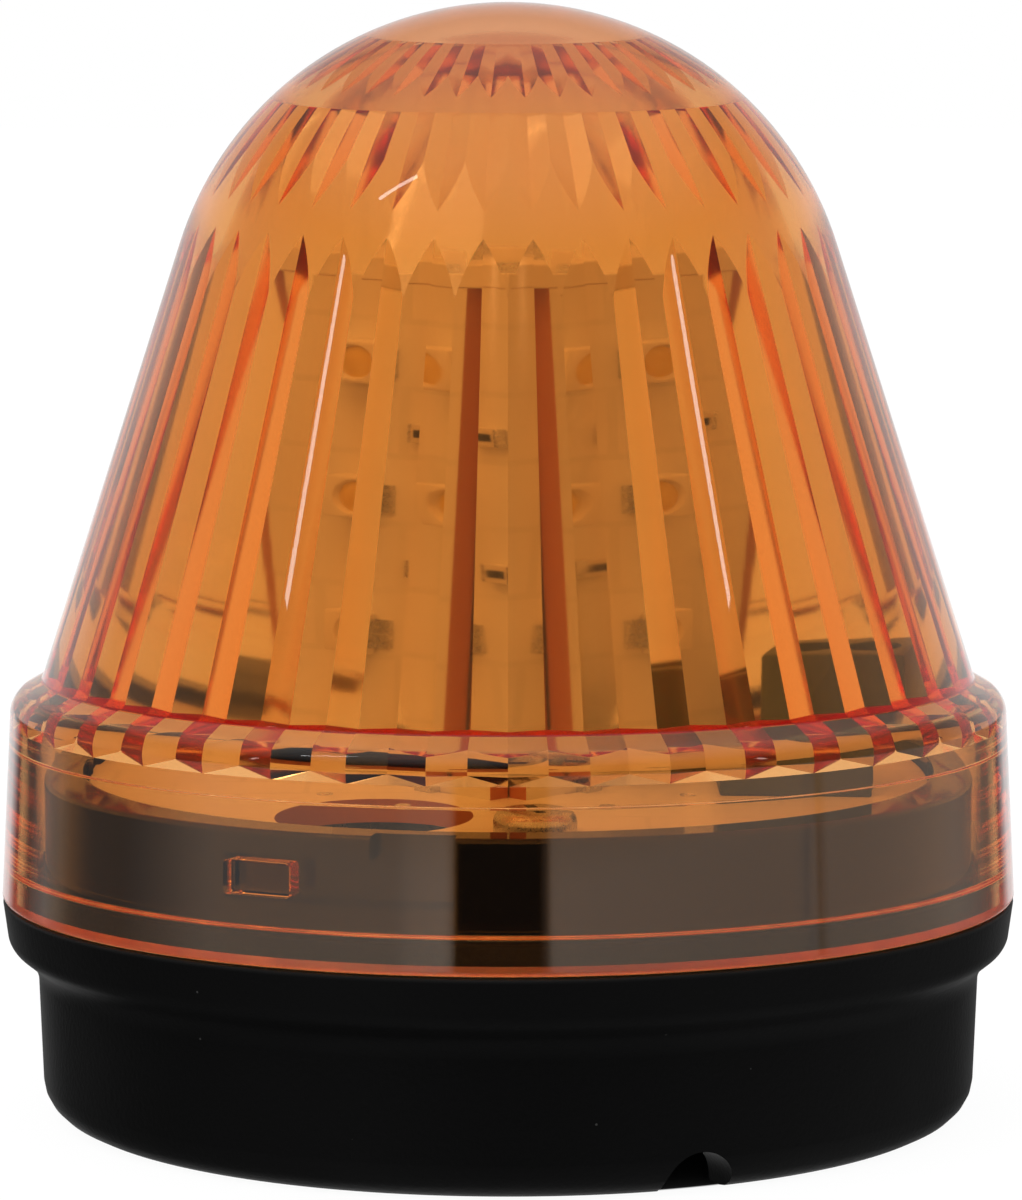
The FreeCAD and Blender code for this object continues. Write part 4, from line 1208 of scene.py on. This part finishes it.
def makeBackdrop():
    # studio: white behind, dim in front, and its own ring of panels below the horizon
    scene = bpy.context.scene
    scene.world = bpy.data.worlds.new("backdrop")
    scene.world.use_nodes = True
    tree = scene.world.node_tree
    path = addNode(tree, "ShaderNodeLightPath").outputs
    axes = axesOf(tree, "Generated")
    high = addRamp(tree, axes["Y"], backdrop["high"], -1.0, 1.0)
    around = addMath(tree, "ARCTAN2", axes["X"], addMath(tree, "MULTIPLY", axes["Y"], -1.0))
    low = addRamp(tree, around, backdrop["low"], -math.pi, math.pi)
    below = addRange(tree, axes["Z"], 0.0, 1.0, *backdrop["horizon"])
    start, end, left = backdrop["fade"]
    fade = addRange(tree, axes["Z"], 1.0, left, start, end)
    start, end, most = backdrop["overhead"]
    above = addRange(tree, axes["Z"], 0.0, most, start, end)
    high = addMath(tree, "MULTIPLY_ADD", high, fade, above)
    glossy = addMix(tree, path["Is Glossy Ray"], backdrop["fill"], addMix(tree, below, high, low))
    through = addMix(tree, path["Is Transmission Ray"], glossy, addMix(tree, below, 1.0, low))
    strength = addMix(tree, path["Is Camera Ray"], through, 1.0)
    feed(tree, tree.nodes["Background"], {"Color": (1, 1, 1, 1), "Strength": strength})


def makeFloor():
    # pale table that glows to the camera and is clear from below; the dark disc under the beacon, where the glow stops,
    # is painted shade
    bm = bmesh.new()
    bmesh.ops.create_grid(bm, x_segments=1, y_segments=1, size=floor["size"] * mm / 2)
    material, tree, shader = newMaterial("paleFloor")
    place = addNode(tree, "ShaderNodeTexCoord").outputs["Object"]
    reach = addNode(tree, "ShaderNodeVectorMath", {0: place}, operation="LENGTH").outputs["Value"]
    # painted shade: the glow stops inside these radii, which leaves a dark disc under the beacon
    near, far = floor["paintedShadeDisc"]
    glow = addRange(tree, reach, 0.0, floor["glow"], near * mm, far * mm)
    seen = addNode(tree, "ShaderNodeLightPath").outputs["Is Camera Ray"]
    feed(tree, shader, {
        "Base Color": (floor["color"],) * 3 + (1,), "Roughness": floor["rough"], "Specular IOR Level": 0.0,
        "Emission Color": (1, 1, 1, 1), "Emission Strength": addMath(tree, "MULTIPLY", seen, glow)})
    side = addNode(tree, "ShaderNodeNewGeometry").outputs["Backfacing"]
    mixSurface(tree, side, shader, addNode(tree, "ShaderNodeBsdfTransparent"))
    plane = makePiece("floor", bm, material)
    plane.visible_glossy = False
    plane.visible_transmission = False


# lamps

strip = {"azimuth": 28.5, "level": 51.0, "distance": 700.0, "width": 15.0, "height": 78.0, "power": 0.022}
arc = {"azimuth": -20.4, "rise": 29.6, "length": 150.0, "width": 16.0, "along": (185.0, -11.0, 119.0), "power": 0.05}
key = {"place": (-350.0, -450.0, 900.0), "target": (0, 0, 30), "size": 500.0, "power": 2.0}


def addPanel(name, place, target, size, power, glossy=True, along=(0, 0, 1)):
    data = bpy.data.lights.new(name, "AREA")
    data.shape = "RECTANGLE"
    data.size, data.size_y = size[0] * mm, size[1] * mm
    data.energy = power
    lamp = bpy.data.objects.new(name, data)
    lamp.location = Vector(place) * mm
    back = (Vector(place) - Vector(target)).normalized()
    across = Vector(along).cross(back).normalized()
    lamp.rotation_euler = Matrix((across, back.cross(across), back)).transposed().to_euler()
    lamp.visible_glossy = glossy
    bpy.context.scene.collection.objects.link(lamp)


def mirrorPlace(azimuth, level, distance):
    # where a lamp stands so that the cone shows it to the camera at this azimuth and level
    slope = coneAngle()
    radius = valleyRadius(level) + lens["wall"] / math.cos(slope)
    x, y = polar(radius, frontAngle + azimuth)
    spot = Vector((x, y, level))
    x, y = polar(math.cos(slope), frontAngle + azimuth)
    normal = Vector((x, y, math.sin(slope)))
    return mirrored(spot, normal, distance), spot


def mirrored(spot, normal, distance):
    ray = (spot - Vector(camera["place"])).normalized()
    return spot + ray.reflect(normal) * distance


def placeLamps():
    for side, name in ((-1, "Left"), (1, "Right")):
        spot, target = mirrorPlace(side * strip["azimuth"], strip["level"], strip["distance"])
        addPanel("strip" + name, spot, target, (strip["width"], strip["height"]), strip["power"])
    x, y = polar(math.cos(math.radians(arc["rise"])), frontAngle + arc["azimuth"])
    normal = Vector((x, y, math.sin(math.radians(arc["rise"]))))
    target = Vector((0, 0, domeCentre)) + normal * lens["domeRadius"]
    addPanel("arc", mirrored(target, normal, strip["distance"]), target, (arc["width"], arc["length"]), arc["power"],
             True, arc["along"])
    addPanel("key", key["place"], key["target"], (key["size"], key["size"]), key["power"], False)


bpy.context.scene.view_settings.view_transform = "Standard"
bpy.context.scene.cycles.max_bounces = 24
bpy.context.scene.cycles.glossy_bounces = 16
bpy.context.scene.cycles.transmission_bounces = 24
placeCamera()
makeBackdrop()
makeFloor()
placeLamps()
